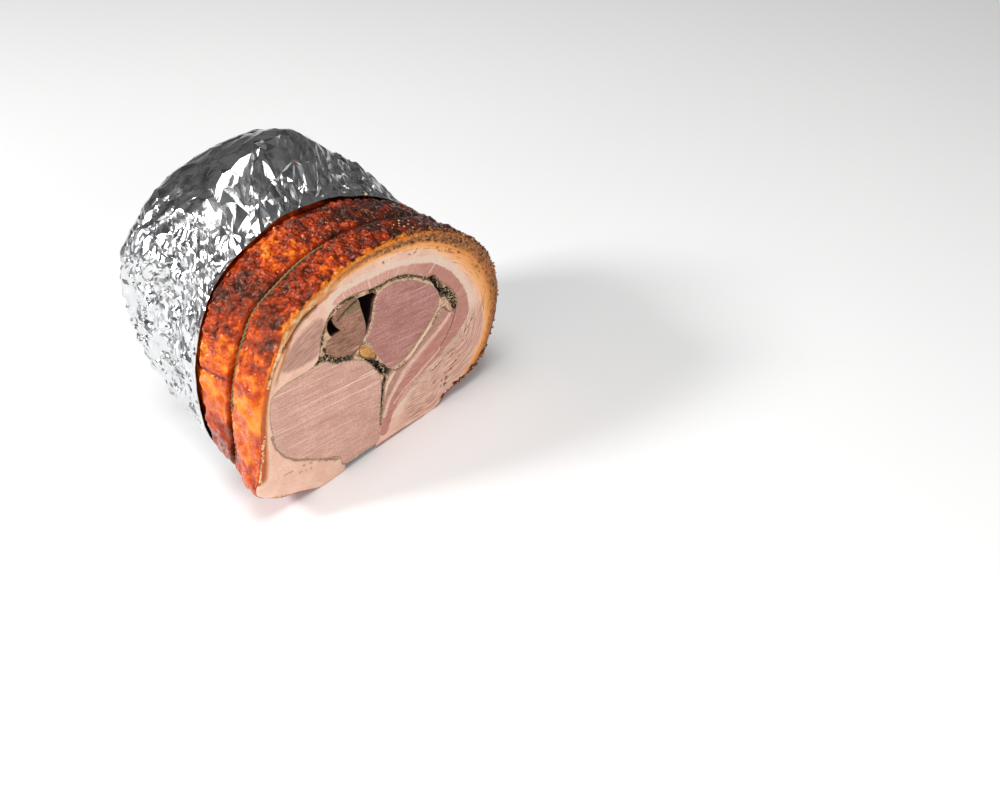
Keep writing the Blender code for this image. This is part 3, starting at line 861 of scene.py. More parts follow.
def cut_belly_look():
    """The cut through rind, fat and belly meat."""
    look = Look("cut_belly")
    jitter = look.centred(look.grain(4.5, 3.0, 0.6), 3.6)
    wrap = look.field("wrap", "Vector")
    along = look.grain((16.0, 0.9, 5.0), 3.0, 0.65, source=wrap)
    across = look.grain((1.2, 14.0, 5.0), 3.0, 0.6, source=wrap)
    crumb = look.grain(1.1, 3.0, 0.65)
    dust = look.grain(0.7, 2.0, 0.6)
    result = belly_layers(look, jitter, along, across)
    sinew = look.grain((9.0, 8.0, 0.9), 3.0, 0.65, turn=LEFT_MEAT_TILT)
    left = look.over((152, 104, 90), (196, 150, 132), sinew, 0.4, 0.58)
    result = look.over(result, left, look.add(look.field("left_meat"), jitter), -2.0, 2.0, 0.85)
    dashes = look.step(look.grain((2.4, 0.8, 2.4)), 0.5, 0.6)
    flecks = look.times(look.step(look.field("flecks"), 1.3, 0.4), dashes)
    result = look.blend(look.times(flecks, 0.85), result, (122, 72, 50))
    result = look.over(result, (104, 68, 54), look.field("fine_line"), 0.8, 0.3, 0.85)
    stain = look.add(look.field("herb"), look.centred(crumb, 3.2))
    olive = look.over((84, 64, 38), (176, 142, 108), dust, 0.35, 0.6)
    result = look.over(result, olive, stain, 1.5, 0.3, 0.85)
    result = look.over(result, (176, 120, 98), dust, 0.56, 0.4, 0.2)
    left_rind = look.ramp(
        look.add(look.field("layer"), look.centred(crumb, 0.3)),
        (0.0, 196, 92, 32), (0.45, 176, 82, 36), (0.7, 214, 140, 84), (1.0, 232, 198, 168))
    for field, shade in (
            ("rind", rind_layers(look, along, crumb)),
            ("pale_strip", streaked(look, along, (236, 216, 180), (206, 176, 130))),
            ("amber_strip", streaked(look, along, (206, 144, 92), (176, 104, 54))),
            ("left_rind", left_rind),
            # Painted shade: pits and torn splits coloured dark; the splits also hold some real dark bits.
            ("pit", (58, 30, 17)), ("line", (146, 98, 76)), ("split", (60, 30, 15))):
        result = look.marked(result, field, shade)
    # Painted shade: darker the deeper a point lies behind the cut face.
    result = look.over(result, POCKET_PAINTED_SHADE, look.field("depth"), 1.2, 4.5)
    look.bump(look.add(along, look.times(look.add(crumb, dust), 0.8)), 0.35, 0.9)
    return moist(look, result, 0.36, dust)


def moist(look, tone, roughness, dust):
    return look.set(Base_Color=tone, Roughness=look.add(roughness, look.times(dust, 0.25)),
                    Specular_IOR_Level=0.35, Subsurface_Weight=0.06, Subsurface_Scale=0.002)


def cut_meat_look(name, base, dark, streak, grain_pitch, rim):
    """A lean muscle's cut: fine grain, thin pale streaks that run across, and a rim."""
    look = Look(name)
    length, across = grain_pitch
    fibre = look.grain((length, 8.0, across), 3.0, 0.6, turn=STREAK_TILT)
    line = look.grain((length * 3.2, 8.0, 1.1), 1.0, 0.5, turn=STREAK_TILT)
    dust = look.grain(1.25, 3.0, 0.75)
    crumb = look.grain(1.4, 3.0, 0.65)
    lean = base
    for shade, value, low, high, strength in (
            (dark, look.grain(20.0), 0.36, 0.64, 0.45), (dark, fibre, 0.52, 0.36, 0.75),
            (dark, dust, 0.52, 0.36, 0.8), (streak, dust, 0.56, 0.7, 0.5), (streak, line, 0.64, 0.69, 0.85),
            ((140, 92, 70), look.spots(9.0), 0.07, 0.04, 0.6)):
        lean = look.over(lean, shade, value, low, high, strength)
    at_rim = look.add(look.field("rim"), look.centred(crumb, 0.9))
    lean = look.over(lean, look.over(rim, HERB_STAIN, dust, 0.4, 0.6), at_rim, 0.35, 0.65)
    lean = look.marked(lean, "skin", look.over((150, 128, 84), (116, 92, 58), crumb, 0.4, 0.6))
    lean = look.marked(lean, "crease", (74, 50, 34))
    # Painted shade: darker the deeper a point lies behind the cut face.
    lean = look.over(lean, POCKET_PAINTED_SHADE, look.field("depth"), 0.8, 3.5)
    look.bump(look.add(look.add(fibre, look.times(dust, 0.8)), look.times(line, 0.5)), 0.3, 0.9)
    return moist(look, lean, 0.34, dust)


def herb_look():
    """Cooked herbs and meat juices between the muscles: olive crumbs, cream rims, and open cracks coloured
    near-black as painted shade.
    """
    look = Look("herb_paste")
    crumb = look.grain(2.2, 3.0, 0.7)
    dust = look.grain(0.9, 2.0, 0.6)
    meat = look.ramp(
        crumb, (0.3, 48, 34, 20), (0.38, 138, 106, 74), (0.46, 198, 156, 124), (0.66, 230, 196, 168))
    paste = look.ramp(
        look.add(crumb, look.times(look.field("lump"), 0.1)),
        (0.4, 12, 9, 6), (0.48, 34, 28, 16), (0.54, 96, 82, 50), (0.61, 204, 176, 140))
    cream = look.over((214, 180, 146), (240, 218, 190), dust, 0.36, 0.6)
    result = meat
    # Painted shade: open cracks are coloured near-black.
    for field, shade in (("cream", cream), ("paste", paste), ("crack_and_painted_shade", (12, 9, 6))):
        result = look.marked(result, field, shade)
    # Painted shade: darker the deeper a point lies behind the cut face.
    result = look.over(result, POCKET_PAINTED_SHADE, look.field("depth"), 2.0, 6.0)
    look.bump(look.add(crumb, look.times(dust, 0.6)), 0.6)
    return look.set(Base_Color=result, Roughness=0.6, Specular_IOR_Level=0.2)


def twine_look():
    """Greasy cotton, browned, with dark bits in the lay."""
    look = Look("browned_twine")
    strand = look.grain(0.5, 3.0, 0.7)
    cotton = look.over((164, 134, 84), (52, 36, 20), strand, 0.35, 0.65)
    cotton = look.over(cotton, (122, 68, 30), look.grain(9.0), 0.5, 0.75, 0.6)
    cotton = look.marked(cotton, "charred", (66, 34, 16))
    look.bump(strand, 0.2, 0.9)
    return look.set(Base_Color=cotton, Roughness=0.55)


def foil_look():
    """Bright foil, a little smeared with fat."""
    look = Look("kitchen_foil")
    look.bump(look.grain(2.2, 3.0, 0.6, warp=0.8), 0.06, 0.5)
    smear = look.step(look.grain(14.0, 3.0), 0.4, 0.7)
    tint = look.blend(look.times(smear, 0.25), (212, 213, 215), (194, 192, 188))
    return look.set(Base_Color=tint, Metallic=1.0, Roughness=look.add(0.14, look.times(smear, 0.12)))


# ---------------------------------------------------------------- the roast's rind and belly

FOOT_EDGE_Z = 2.5
FOOT_HALF_WIDTH = 55
FACE_CURVE = closed_curve(FACE_OUTLINE)
EVEN_LOOP = even_points(FACE_CURVE, RIND_STEP)
UNDER_FOOT = (EVEN_LOOP[:, 1] < FOOT_EDGE_Z) & (np.abs(EVEN_LOOP[:, 0]) < FOOT_HALF_WIDTH)
OUTER_LOOP = EVEN_LOOP[~UNDER_FOOT | (np.arange(len(EVEN_LOOP)) % FOOT_THINNING == 0)]
LOIN_LOOP, COLLAR_LOOP, CORE_LOOP, NUGGET_LOOP, HERB_LOOP, TALL_LOOP, SMALL_LOOP = (
    even_points(closed_curve(keys), spacing) for keys, spacing in (
        (LOIN, 1.1), (COLLAR_MUSCLE, 0.9), (CORE_PIECE, 0.8), (FAT_NUGGET, 0.8), (HERB_HOLLOW, 0.9),
        (TALL_POCKET, 1.0), (SMALL_POCKET, 1.0)))


def by_angle(angle, pairs):
    """A value that changes with the angle about the section's middle, in degrees."""
    degrees, values = np.array(pairs, float).T
    return np.interp(np.degrees(angle) % 360, degrees, values, period=360)


def rind_angle(flat):
    offset = flat - np.array(FACE_CENTRE)
    return np.arctan2(offset[:, 1], offset[:, 0]) % math.tau


def rind_points(flat, y):
    """The rind at depth y behind points of the face's outline, as in the solid."""
    angle = rind_angle(flat)
    mouth = rim_y(angle)
    centre_x, centre_z, radius = meat_radius(angle, y, mouth)
    radius = mix(radius + bulge(angle, y), radius - GROOVE_DEPTH, groove(y))
    rough = (1 - groove(y)) * smooth_step(y, -1, 4) * (1 - smooth_step(y, mouth - 3, mouth + 1))
    end_rounding = END_ROUNDING * smooth_step(y, ROAST_END_Y - 6, ROAST_END_Y)
    ring = []
    for a, r, roughness in zip(angle, radius, rough):
        spot = (centre_x + r * math.cos(a), y, centre_z + r * math.sin(a))
        relief = crackle_height(spot) * roughness * smooth_step(spot[2], 1, 1 + FOOT_FADE)
        full = r + relief - end_rounding
        up = max(centre_z + full * math.sin(a), floor_height(y))
        ring.append((centre_x + full * math.cos(a), y, up))
    return np.array(ring)


def outward_from_axis(points):
    """The direction away from the section's middle, in the plane across the roast, and its angle."""
    swell = smooth_step(points[:, 1], TUCKED_Y, ROUND_Y)
    centre_x, centre_z = (mix(near, far, swell) for near, far in zip(FACE_CENTRE, ROUND_CENTRE))
    away = np.stack([points[:, 0] - centre_x, np.zeros(len(points)), points[:, 2] - centre_z], axis=1)
    return away / np.linalg.norm(away, axis=1)[:, None], np.arctan2(away[:, 2], away[:, 0])


# How much the rind blistered and how dark it roasted, by degrees round the section.
PUFFED = [
    (0, 0.75), (40, 0.8), (60, 0.85), (100, 1.0), (154, 1.0), (161, 0.75), (167, 0.25), (178, 0.1),
    (225, 0.1), (300, 0.2), (330, 0.6),
]
ROASTED_FRONT = [
    (0, 0.5), (20, 0.66), (41, 0.84), (61, 0.8), (73, 0.74), (87, 0.68), (102, 0.62), (112, 0.5),
    (119, 0.46), (126, 0.56), (133, 0.55), (140, 0.46), (146, 0.48), (152, 0.42), (158, 0.34),
    (163, 0.26), (169, 0.16), (176, 0.1), (184, 0.1), (191, 0.2), (199, 0.36), (215, 0.4),
    (270, 0.35), (310, 0.42), (335, 0.46),
]
ROASTED_BACK = [
    (0, 0.6), (20, 0.75), (47, 0.86), (64, 0.8), (78, 0.72), (92, 0.62), (104, 0.5), (112, 0.42),
    (119, 0.32), (126, 0.34), (131, 0.52), (136, 0.66), (142, 0.6), (147, 0.6), (151, 0.4),
    (156, 0.28), (162, 0.26), (166, 0.18), (174, 0.16), (182, 0.26), (195, 0.5), (215, 0.55),
    (270, 0.4), (310, 0.46), (335, 0.5),
]
FOLD_ANGLE = 168.0
UNDER_FOIL_INSET = 2.6     # keeps the hidden rind clear of the foil's creases
GOLDEN = [(0, 0.3), (45, 0.5), (60, 0.9), (150, 0.9), (165, 0.5), (180, 0.0), (350, 0.1)]


DOME_REACH = 0.62          # a blister's radius, in pitches


def domes(points, pitch, seed):
    """Round blisters of uneven size, each from 0 at its foot to about 1."""
    near, owner = cells(points, pitch, seed)
    return np.clip(1 - (near / DOME_REACH) ** 2, 0, 1) * mix(0.35, 1.1, owner)


def rind_relief(points):
    """Fine relief of the roasted rind, and the fields that colour it."""
    outward, angle = outward_from_axis(points)
    y = points[:, 1]
    drift = math.radians(5) * waves(points, 14, 3)
    puffed = by_angle(angle + drift, PUFFED) * smooth_step(y, 0.2, 3.0)
    broad = domes(points, 6.0, 1)
    small = domes(points, 3.4, 2)
    in_back = smooth_step(y, TIE_Y + 3, TIE_Y + 6)
    past_fold = np.degrees(angle) % 360 - FOLD_ANGLE - 1.5 * waves(points, 8, 24)
    height = puffed * (2.0 * broad + 1.3 * small - 1.0)
    height -= in_back * 2.2 * np.exp(-past_fold ** 2)
    height -= in_back * 1.2 * between(past_fold, (-0.5, 1.5), (10, 24))
    height += 0.55 * waves(points, (9, 6, 9), 4) * mix(0.5, 1, puffed)
    height += 0.4 * waves(points, (20, 4, 20), 6) * (1 - puffed)
    in_groove = near_zero(y - TIE_Y, GROOVE_FLAT + 0.3, GROOVE_REACH + 0.8)
    hidden = smooth_step(y, rim_y(angle) - 3, rim_y(angle) + 1)
    settle = (1 - 0.85 * in_groove) * (1 - hidden) * smooth_step(points[:, 2], 0.5, 5)
    back_band = smooth_step(y, TIE_Y - 2, TIE_Y + 2)
    roast = mix(*(by_angle(angle + drift, band) for band in (ROASTED_FRONT, ROASTED_BACK)), back_band)
    roast = roast + (0.3 * waves(points, 13, 7) + 0.24 * waves(points, 6, 8)) * mix(0.6, 1, puffed)
    # Painted shade: darker in and along the tied groove, where the twine and groove lie in shade.
    roast = roast + 0.1 * in_groove + 0.28 * np.exp(-((y - TIE_Y) / 1.9) ** 2)
    # Painted shade: darker along the fold's crease.
    roast = roast + 0.4 * in_back * np.exp(-(past_fold / 0.8) ** 2)
    ragged = y + 3.5 * waves(points, 5, 19)
    drawn_in = UNDER_FOIL_INSET * smooth_step(y, 75, 86) * smooth_step(points[:, 2], 2, 12)
    return outward * (height * settle - drawn_in)[:, None], {
        "roast": roast,
        # Blister tops, for painted light on the rind's colour.
        "crest_painted_light": np.clip(np.maximum(broad, 0.8 * small), 0, 1) * puffed,
        "bubbly": puffed * settle,
        "freckles": np.clip(1 - puffed, 0, 1) * 0.8,
        "golden": (1 - smooth_step(ragged, 0.6, 2.2)) * by_angle(angle, GOLDEN),
    }


CRUMBLY = [
    (0, 0.8), (10, 0.9), (20, 1.1), (35, 1.2), (55, 1.05), (70, 0.95), (85, 0.8), (100, 0.6),
    (115, 0.35), (124, 0), (330, 0), (350, 0.6),
]
PIT_DEPTH = [(0, 8.0), (25, 8.0), (45, 6.5), (60, 5.2), (75, 4.6), (90, 4.0), (340, 6.0)]
PIT_ROW = [
    (0, 0.4), (15, 0.8), (60, 1.0), (85, 1.0), (100, 0.5), (115, 0.2), (125, 0), (335, 0), (345, 0.3),
]


PIT_PITCH = 4.6           # how far apart the pits are along a row
PIT_ROW_RADIUS = 95       # a row's radius about the face's middle
SECOND_PITS = 12.3        # the deeper row's distance from the outside


def pits(flat, edge, angle, spots):
    """Small holes in two rows under the crust, coloured dark as painted shade."""
    wrapped = np.stack([angle * PIT_ROW_RADIUS / PIT_PITCH, edge / 2.0, np.zeros(len(flat))], axis=1)
    near, owner = cells(wrapped, 1.0, 9)
    hole = 1 - smooth_step(near, 0.26, 0.42)
    wander = 1.2 * waves(spots, 12, 10)
    first = near_zero(edge - by_angle(angle, PIT_DEPTH) - wander, 1.0, 2.4)
    second = near_zero(edge - SECOND_PITS - wander, 0.6, 1.5)
    both = np.maximum(first * (owner > 0.2), second * (owner > 0.55))
    return hole * np.clip(both * by_angle(angle, PIT_ROW), 0, 1)


def split_field(flat, spots, edge, uneven):
    """Where the belly's face is torn open, coloured dark as painted shade, or holds dark bits."""
    at_seam = distance_to(flat, HERB_LOOP, closed=True) - 0.3 * uneven
    base_bits = smooth_step(flat[:, 0], 48, 56) * (1 - smooth_step(edge, 1.0, 3.6)) * (flat[:, 1] < 24)
    near_spot = np.min([np.hypot(*(flat - spot).T) for spot in BASE_SPOTS], axis=0)
    return np.maximum.reduce([
        near_line(flat, SLIT, 1.3, 0.4 * uneven),
        0.8 * near_line(flat, LOWER_SLIT, 1.0, 0.4 * uneven),
        near_line(flat, LOIN_SPLIT, 0.8, 0.5 * uneven) * smooth_step(waves(spots, 8, 13), 0.3, 0.6),
        0.9 * near_line(flat, RIGHT_SEAM, 5.0) * (1 - smooth_step(at_seam, 0.3, 1.0)),
        base_bits * smooth_step(waves(spots, 4, 15), -0.1, 0.2),
        0.8 * (1 - smooth_step(near_spot + uneven, 0.6, 1.6)),
    ])


def face_fields(flat):
    """The belly's face: how far each point is from each layer's lines, and what marks it."""
    spots = on_face(flat)
    edge = distance_to(flat, FACE_CURVE, closed=True)
    angle = rind_angle(flat)
    uneven = waves(spots, 5, 11)
    rind = np.maximum(-depth_inside(flat, RIND_INSIDE), 0)
    degrees = np.degrees(angle)
    left_side = between(degrees, (158, 166), (214, 222))
    upper_left = between(degrees, (114, 122), (160, 166))
    pale_strip = near_zero(edge - 2.0 - 1.8 * uneven, 0.3, 1.3)
    amber_strip = near_zero(edge - 6.6 - 1.2 * uneven, 0.6, 2.2)
    past_pits = edge - 0.85 * by_angle(angle, PIT_DEPTH) - 1.3 * uneven
    crumbly = by_angle(angle, CRUMBLY) * (1 - smooth_step(past_pits, 0.0, 3.2))
    line = near_line(flat, LOIN_SPLIT, 0.8, 0.3 * uneven) * 0.75
    broken = smooth_step(waves(spots, 3.5, 16), 0.0, 0.3) * 0.7
    for wedge in WEDGE_LINES:
        line = np.maximum(line, near_line(flat, wedge, 0.7, 0.4 * uneven) * broken)
    at_right = smooth_step(flat[:, 0] - 0.6 * flat[:, 1], 0, 14) * (1 - smooth_step(flat[:, 1], 56, 74))
    turn = np.arctan2(flat[:, 1] - FACE_CENTRE[1], flat[:, 0] - FACE_CENTRE[0])
    return {
        "edge": edge,
        "rind": smooth_step(rind, 0.0, 1.2),
        "layer": edge / (edge + rind + 0.001),
        "left_rind": left_side * smooth_step(rind, 0.0, 0.6),
        "pale_strip": upper_left * pale_strip * smooth_step(waves(spots, 9, 25), -0.5, 0.0),
        "amber_strip": upper_left * amber_strip,
        "crumbly": np.clip(crumbly * (0.72 + 0.9 * waves(spots, 4, 12)), 0, 1),
        "granular": waves(spots, 2.4, 16),
        "gold_edge": (1 - smooth_step(edge + 0.7 * uneven, 1.0, 2.0)) * by_angle(angle, GOLDEN),
        "muscle": depth_inside(flat, TOP_MUSCLE),
        "left_meat": depth_inside(flat, LEFT_MEAT),
        "strip_grey": distance_to(flat, STRIP_GREY),
        "strip_white": distance_to(flat, STRIP_WHITE),
        "strip_pink": distance_to(flat, STRIP_PINK),
        "pale_lines": np.min([distance_to(flat, pale) for pale in PALE_LINES], axis=0),
        "fine_line": distance_to(flat, FINE_LINE),
        "flecks": np.min([distance_to(flat, fleck) for fleck in FLECK_LINES], axis=0),
        "herb": distance_to(flat, HERB_LOOP, closed=True),
        "pit": pits(flat, edge, angle, spots),
        "split": split_field(flat, spots, edge, uneven),
        "line": line,
        "right_side": smooth_step(flat[:, 0], 5, 60),
        "lean": at_right * smooth_step(edge, 1, 5),
        "wrap": np.stack([turn * 90, edge, np.zeros(len(flat))], axis=1),
    }


def edge_rounding(distance, depth, reach):
    """The rim of a cut piece curls back a little."""
    return depth * (1 - smooth_step(distance, 0, reach))


FAR = 30.0      # a distance field's value away from the cut face
FILLERS = dict.fromkeys(
    ("fine_line", "flecks", "pale_lines", "herb", "strip_grey", "strip_white", "strip_pink"), FAR)
FILLERS |= {"muscle": -FAR, "left_meat": -FAR}


def for_all_points(fields, total):
    """Fields of the face's points as fields of all points: far from every line behind the face."""
    full = {}
    for name, values in fields.items():
        full[name] = np.full((total,) + values.shape[1:], FILLERS.get(name, 0.0))
        full[name][:len(values)] = values
    return full


HOLE_GAP = 0.42        # room between the belly and the loin
SEAM_GAP = 0.1         # room between the belly and the herbs
RAGGED_RIM = 6


def build_belly():
    holes = [grown(LOIN_LOOP, HOLE_GAP), grown(HERB_LOOP, SEAM_GAP), np.array(WRAP_OPENING, float)]

    def on_outside(flat):
        return distance_to(flat, OUTER_LOOP, closed=True) < ON_OUTLINE

    points, faces, face_count, outside, outer_faces = cut_solid(
        [OUTER_LOOP, *holes], FACE_STEP, 21, ROAST_END_Y, (on_outside, OUTER_ROWS, rind_points))
    flat = points[:face_count][:, [0, 2]]
    fields = face_fields(flat)
    edge = fields.pop("edge")
    total = len(points)
    full = for_all_points(fields, total)
    full["depth"] = points[:, 1].copy()

    move, rind_fields = rind_relief(points[outside])
    face = points[:face_count]
    rough = 0.2 + 1.6 * fields["crumbly"] + 0.4 * fields["rind"]
    back = 0.35 + 0.25 * waves(face, 22, 17)
    back += (0.2 * waves(face, 1.1, 20) - 0.5 * fields["granular"]) * rough
    back += 1.4 * fields["pit"] + 3.0 * fields["split"] + 0.5 * fields["line"]
    back += edge_rounding(fields["herb"], 0.35, 1.0) + edge_rounding(edge, 0.8, 1.6)
    back += 0.3 * np.maximum(waves(face, 1.6, 23), 0) * (fields["herb"] < 3)
    back += 0.7 * near_line(flat, FINE_LINE, 0.8)
    back -= 0.5 * fields["pale_strip"]
    shift = np.zeros(total)
    shift[:face_count] = np.clip(back, 0, 4)
    points[outside] += move
    front = points[:, 1] < RAGGED_RIM
    front[:face_count] = False
    ragged = 0.5 + 0.5 * waves(points[front], 3.5, 18)
    points[front, 1] += ragged * (1 - points[front, 1] / RAGGED_RIM) * 0.9
    points[:, 1] += shift
    for name, values in rind_fields.items():
        full[name] = np.zeros(total)
        full[name][outside] = values
    add_piece("rind_and_belly", "belly_roll", points, faces, [crackling_look(), cut_belly_look()],
              full, first_look=outer_faces)


def collar_rim(flat, edge):
    """The collar muscle's pale rim: wide beside the open pocket, thin at its foot."""
    wide = smooth_step(-flat[:, 0], 0, 5) * smooth_step(flat[:, 1], 84, 90)
    upper = smooth_step(flat[:, 1], 95, 110)
    width = mix(mix(0.3, 0.9, upper), 2.8, wide)
    return 1 - smooth_step(edge, width * 0.5, width * 1.3)


LARGE_GROWTH = 0.38    # how far a large muscle's cut reaches past its outline, towards the herbs
SMALL_GROWTH = 0.3     # and a small one's


def plain_rim(width):
    def rim(flat, edge):
        return 1 - smooth_step(edge, width * 0.5, width * 1.5)
    return rim


def build_meat(name, node, loop, grow, spacing, seed, look, crown, rim, marks=()):
    """One muscle, cut across.

    Crown is how far its middle stands in front of its rim; marks are lines drawn on it, each a
    field's name, a line and half its width.
    """
    outline = grown(loop, grow)
    points, faces, face_count, _, _ = cut_solid([outline], spacing, seed, MEAT_ROWS[-1])
    face = points[:face_count].copy()
    flat = face[:, [0, 2]]
    edge = distance_to(flat, outline, closed=True)
    fields = {"depth": points[:, 1].copy(), "rim": rim(flat, edge)}
    fields |= {mark: near_line(flat, line, width) for mark, line, width in marks}
    streaks = on_face(flat * (0.1, 1))
    streaks[:, 2] -= flat[:, 0] * math.tan(STREAK_TILT)
    back = 0.35 + crown * (1 - smooth_step(edge, 0, 9)) + edge_rounding(edge, 0.12 + 0.4 * crown, 1.2)
    back += 0.2 * waves(streaks, 1.6, seed) + 0.2 * waves(face, 16, seed + 1)
    back += 0.12 * waves(face, 1.2, seed + 2)
    back += 0.3 * np.maximum(waves(face, 1.8, seed + 3), 0) * fields["rim"] + 0.8 * fields.get("crease", 0)
    points[:face_count, 1] += np.clip(back, -0.3, 3)
    add_piece(name, node, points, faces, [look], for_all_points(fields, len(points)))


HERB_GAP = 0.45        # room between the herbs and each muscle's outline


def build_herbs():
    muscles = [grown(loop, HERB_GAP) for loop in (LOIN_LOOP, COLLAR_LOOP, CORE_LOOP, NUGGET_LOOP)]
    points, faces, face_count, _, _ = cut_solid(
        [HERB_LOOP, *muscles, TALL_LOOP, SMALL_LOOP], FINE_FACE_STEP, 41, MEAT_ROWS[-1])
    face = points[:face_count].copy()
    flat = face[:, [0, 2]]
    coarse = waves(face, 2.6, 42)
    fine = waves(face, 1.3, 43)
    # Open cracks: pushed back, and coloured near-black in herb_look as painted shade.
    crack_and_painted_shade = np.max([
        near_line(flat, line, width * (1.35 + 0.5 * fine), 0.9 * coarse) for line, width in CRACKS], axis=0)
    broken = smooth_step(waves(face, 5, 44), -0.45, -0.1)
    crack_and_painted_shade = crack_and_painted_shade * mix(broken, 1.0, near_line(flat, CRACKS[0][0], 6) + near_line(flat, CRACKS[3][0], 4))
    paste = np.max([
        near_line(flat, line, 1.1 * width, 1.3 * coarse + 0.5 * fine) for line, width in PASTE], axis=0)
    from_collar = distance_to(flat, COLLAR_LOOP, closed=True)
    rim = 1 - smooth_step(from_collar + 0.3 * fine, 0.7, 1.3)
    cream = rim * np.maximum(smooth_step(flat[:, 1], 100, 108), smooth_step(flat[:, 0], 8, 14))
    cream = np.maximum(cream, near_line(flat, CREAM_CHUNK, 3.2, 0.6 * coarse))
    fields = {"crack_and_painted_shade": np.clip(crack_and_painted_shade, 0, 1), "paste": paste * (1 - 0.7 * cream), "cream": cream,
              "depth": points[:, 1].copy(), "lump": fine}
    back = 0.6 + 0.4 * coarse - 0.5 * fine + 4.0 * fields["crack_and_painted_shade"] + 0.9 * paste * (0.6 - fine)
    back -= 0.8 * near_line(flat, CREAM_CHUNK, 2.2, 0.6 * coarse)
    points[:face_count, 1] += np.clip(back, -0.3, 6)
    add_piece("herb_paste", "herb_filling", points, faces, [herb_look()],
              for_all_points(fields, len(points)))


# ---------------------------------------------------------------- twine

PLY_RADIUS = 0.74
PLY_OFFSET = 0.56
TWIST_PITCH = 7.5
PLY_SIDES = 8
TWINE_STEP = 0.55
TWINE_STAND_OFF = 0.5
CHARRED = [(0, 0.9), (92, 0.95), (104, 0.3), (112, 0.0), (215, 0.0), (240, 0.6)]


def build_twine():
    """Two plies twisted round each other, in the tied groove."""
    bottom = rind_points(OUTER_LOOP, TIE_Y)[:, [0, 2]]
    path = even_points(grown(bottom, TWINE_RADIUS + TWINE_STAND_OFF), TWINE_STEP)
    outward = grown(path, 1.0) - path
    steps = len(path)
    turns = round((steps - 1) * TWINE_STEP / TWIST_PITCH)
    round_once = math.tau * np.arange(steps) / steps
    sway = 0.35 * np.sin(3 * round_once) + 0.25 * np.sin(11 * round_once)
    side = np.arange(PLY_SIDES) * math.tau / PLY_SIDES
    here = np.arange(PLY_SIDES)
    beside = (here + 1) % PLY_SIDES
    points = []
    faces = []
    for ply in range(2):
        lay = turns * round_once + math.pi * ply
        out = PLY_OFFSET * np.cos(lay)[:, None] + PLY_RADIUS * np.cos(side)[None, :]
        along = PLY_OFFSET * np.sin(lay)[:, None] + PLY_RADIUS * np.sin(side)[None, :]
        x, z = (path[:, [k]] + outward[:, [k]] * out for k in (0, 1))
        points.append(np.stack([x, TIE_Y + sway[:, None] + along, z], axis=2).reshape(-1, 3))
        for step in range(steps):
            ring, after = ((ply * steps + k % steps) * PLY_SIDES for k in (step, step + 1))
            faces += np.stack([ring + here, ring + beside, after + beside, after + here], axis=1).tolist()
    points = np.vstack(points)
    charred = by_angle(rind_angle(points[:, [0, 2]]), CHARRED)
    add_piece("twisted_twine", "twine", points, faces, [twine_look()], {"charred": charred})


# ---------------------------------------------------------------- foil

FOIL_SPACING = 4.6
FOIL_SHEET = 0.3
FACET_HEIGHTS = (1.6, 0.75, 0.12)


def crumple_height(point):
    """The broad creases that the solid has too."""
    place = Vector(point)
    ridge = 1 - 2 * abs(noise.noise(place / CREASE_PITCH + Vector((3, 8, 1))))
    dent = noise.noise(place / DENT_PITCH)
    return FOIL_CRUMPLE * (0.6 * ridge - 0.3 + 0.7 * dent)


def foil_point(a, s):
    """The foil's outside at an angle; s runs from 0 at the mouth, past 1 where the end closes, to 2."""
    if s <= 1:
        y = mix(rim_y(a), DOME_START_Y, s)
        scale = 1.0
    else:
        lean = 0.5 * math.pi * (s - 1)
        y = DOME_START_Y + (PARCEL_END_Y - DOME_START_Y) * math.sin(lean) ** (2 / DOME_POWER)
        scale = max(math.cos(lean), 0.0) ** (2 / DOME_POWER)
    stand_off = 1 - smooth_step(s, 0, 0.3)
    centre_x, centre_z, radius = section(a, y)
    loose = mix(RIM_STAND_OFF_TOP, RIM_STAND_OFF_LEFT, 0.5 - 0.5 * math.cos(a)) * stand_off
    spot = (centre_x + radius * scale * math.cos(a), y, centre_z + radius * scale * math.sin(a))
    settled = 1 - 0.7 * stand_off
    full = (radius + loose + crumple_height(spot) * settled) * scale
    up = max(centre_z + full * math.sin(a), 0.0)
    return (centre_x + full * math.cos(a), y, up)


ROW_SAMPLES = 201
GIRTH_SIDES = 16


def foil_rows():
    """Evenly spaced rows from the mouth to the end: their s, girth and distance run."""
    s_values = np.linspace(0, 2, ROW_SAMPLES)
    angles = np.arange(GIRTH_SIDES) * math.tau / GIRTH_SIDES
    rings = np.array([[foil_point(a, s) for a in angles] for s in s_values])
    step = np.linalg.norm(np.diff(rings, axis=0), axis=2).mean(axis=1)
    run = np.concatenate([[0], np.cumsum(step)])
    girth = np.linalg.norm(rings - np.roll(rings, 1, axis=1), axis=2).sum(axis=1)
    return s_values, run, girth


def near_floor(points):
    return smooth_step(points[:, 2], 0.6, 6)


def near_rim(points):
    return smooth_step(points[:, 1], RIM_LOW_Y, RIM_LOW_Y + 14)


def foil_crumple(points):
    """How much the foil is crumpled at each point: little over the top and back, much at the left."""
    x, y, z = points.T
    calm_top = 0.85 * smooth_step(z, 155, 180) * smooth_step(y, 78, 96)
    upper_left = 0.5 * smooth_step(z, 120, 160) * smooth_step(-x, 30, 70) * smooth_step(y, 105, 125)
    calm = np.maximum.reduce([calm_top, upper_left, 0.4 * smooth_step(y, 150, 162)])
    return 1 - calm + 0.9 * smooth_step(-x, 60, 90) * (1 - smooth_step(z, 90, 130))


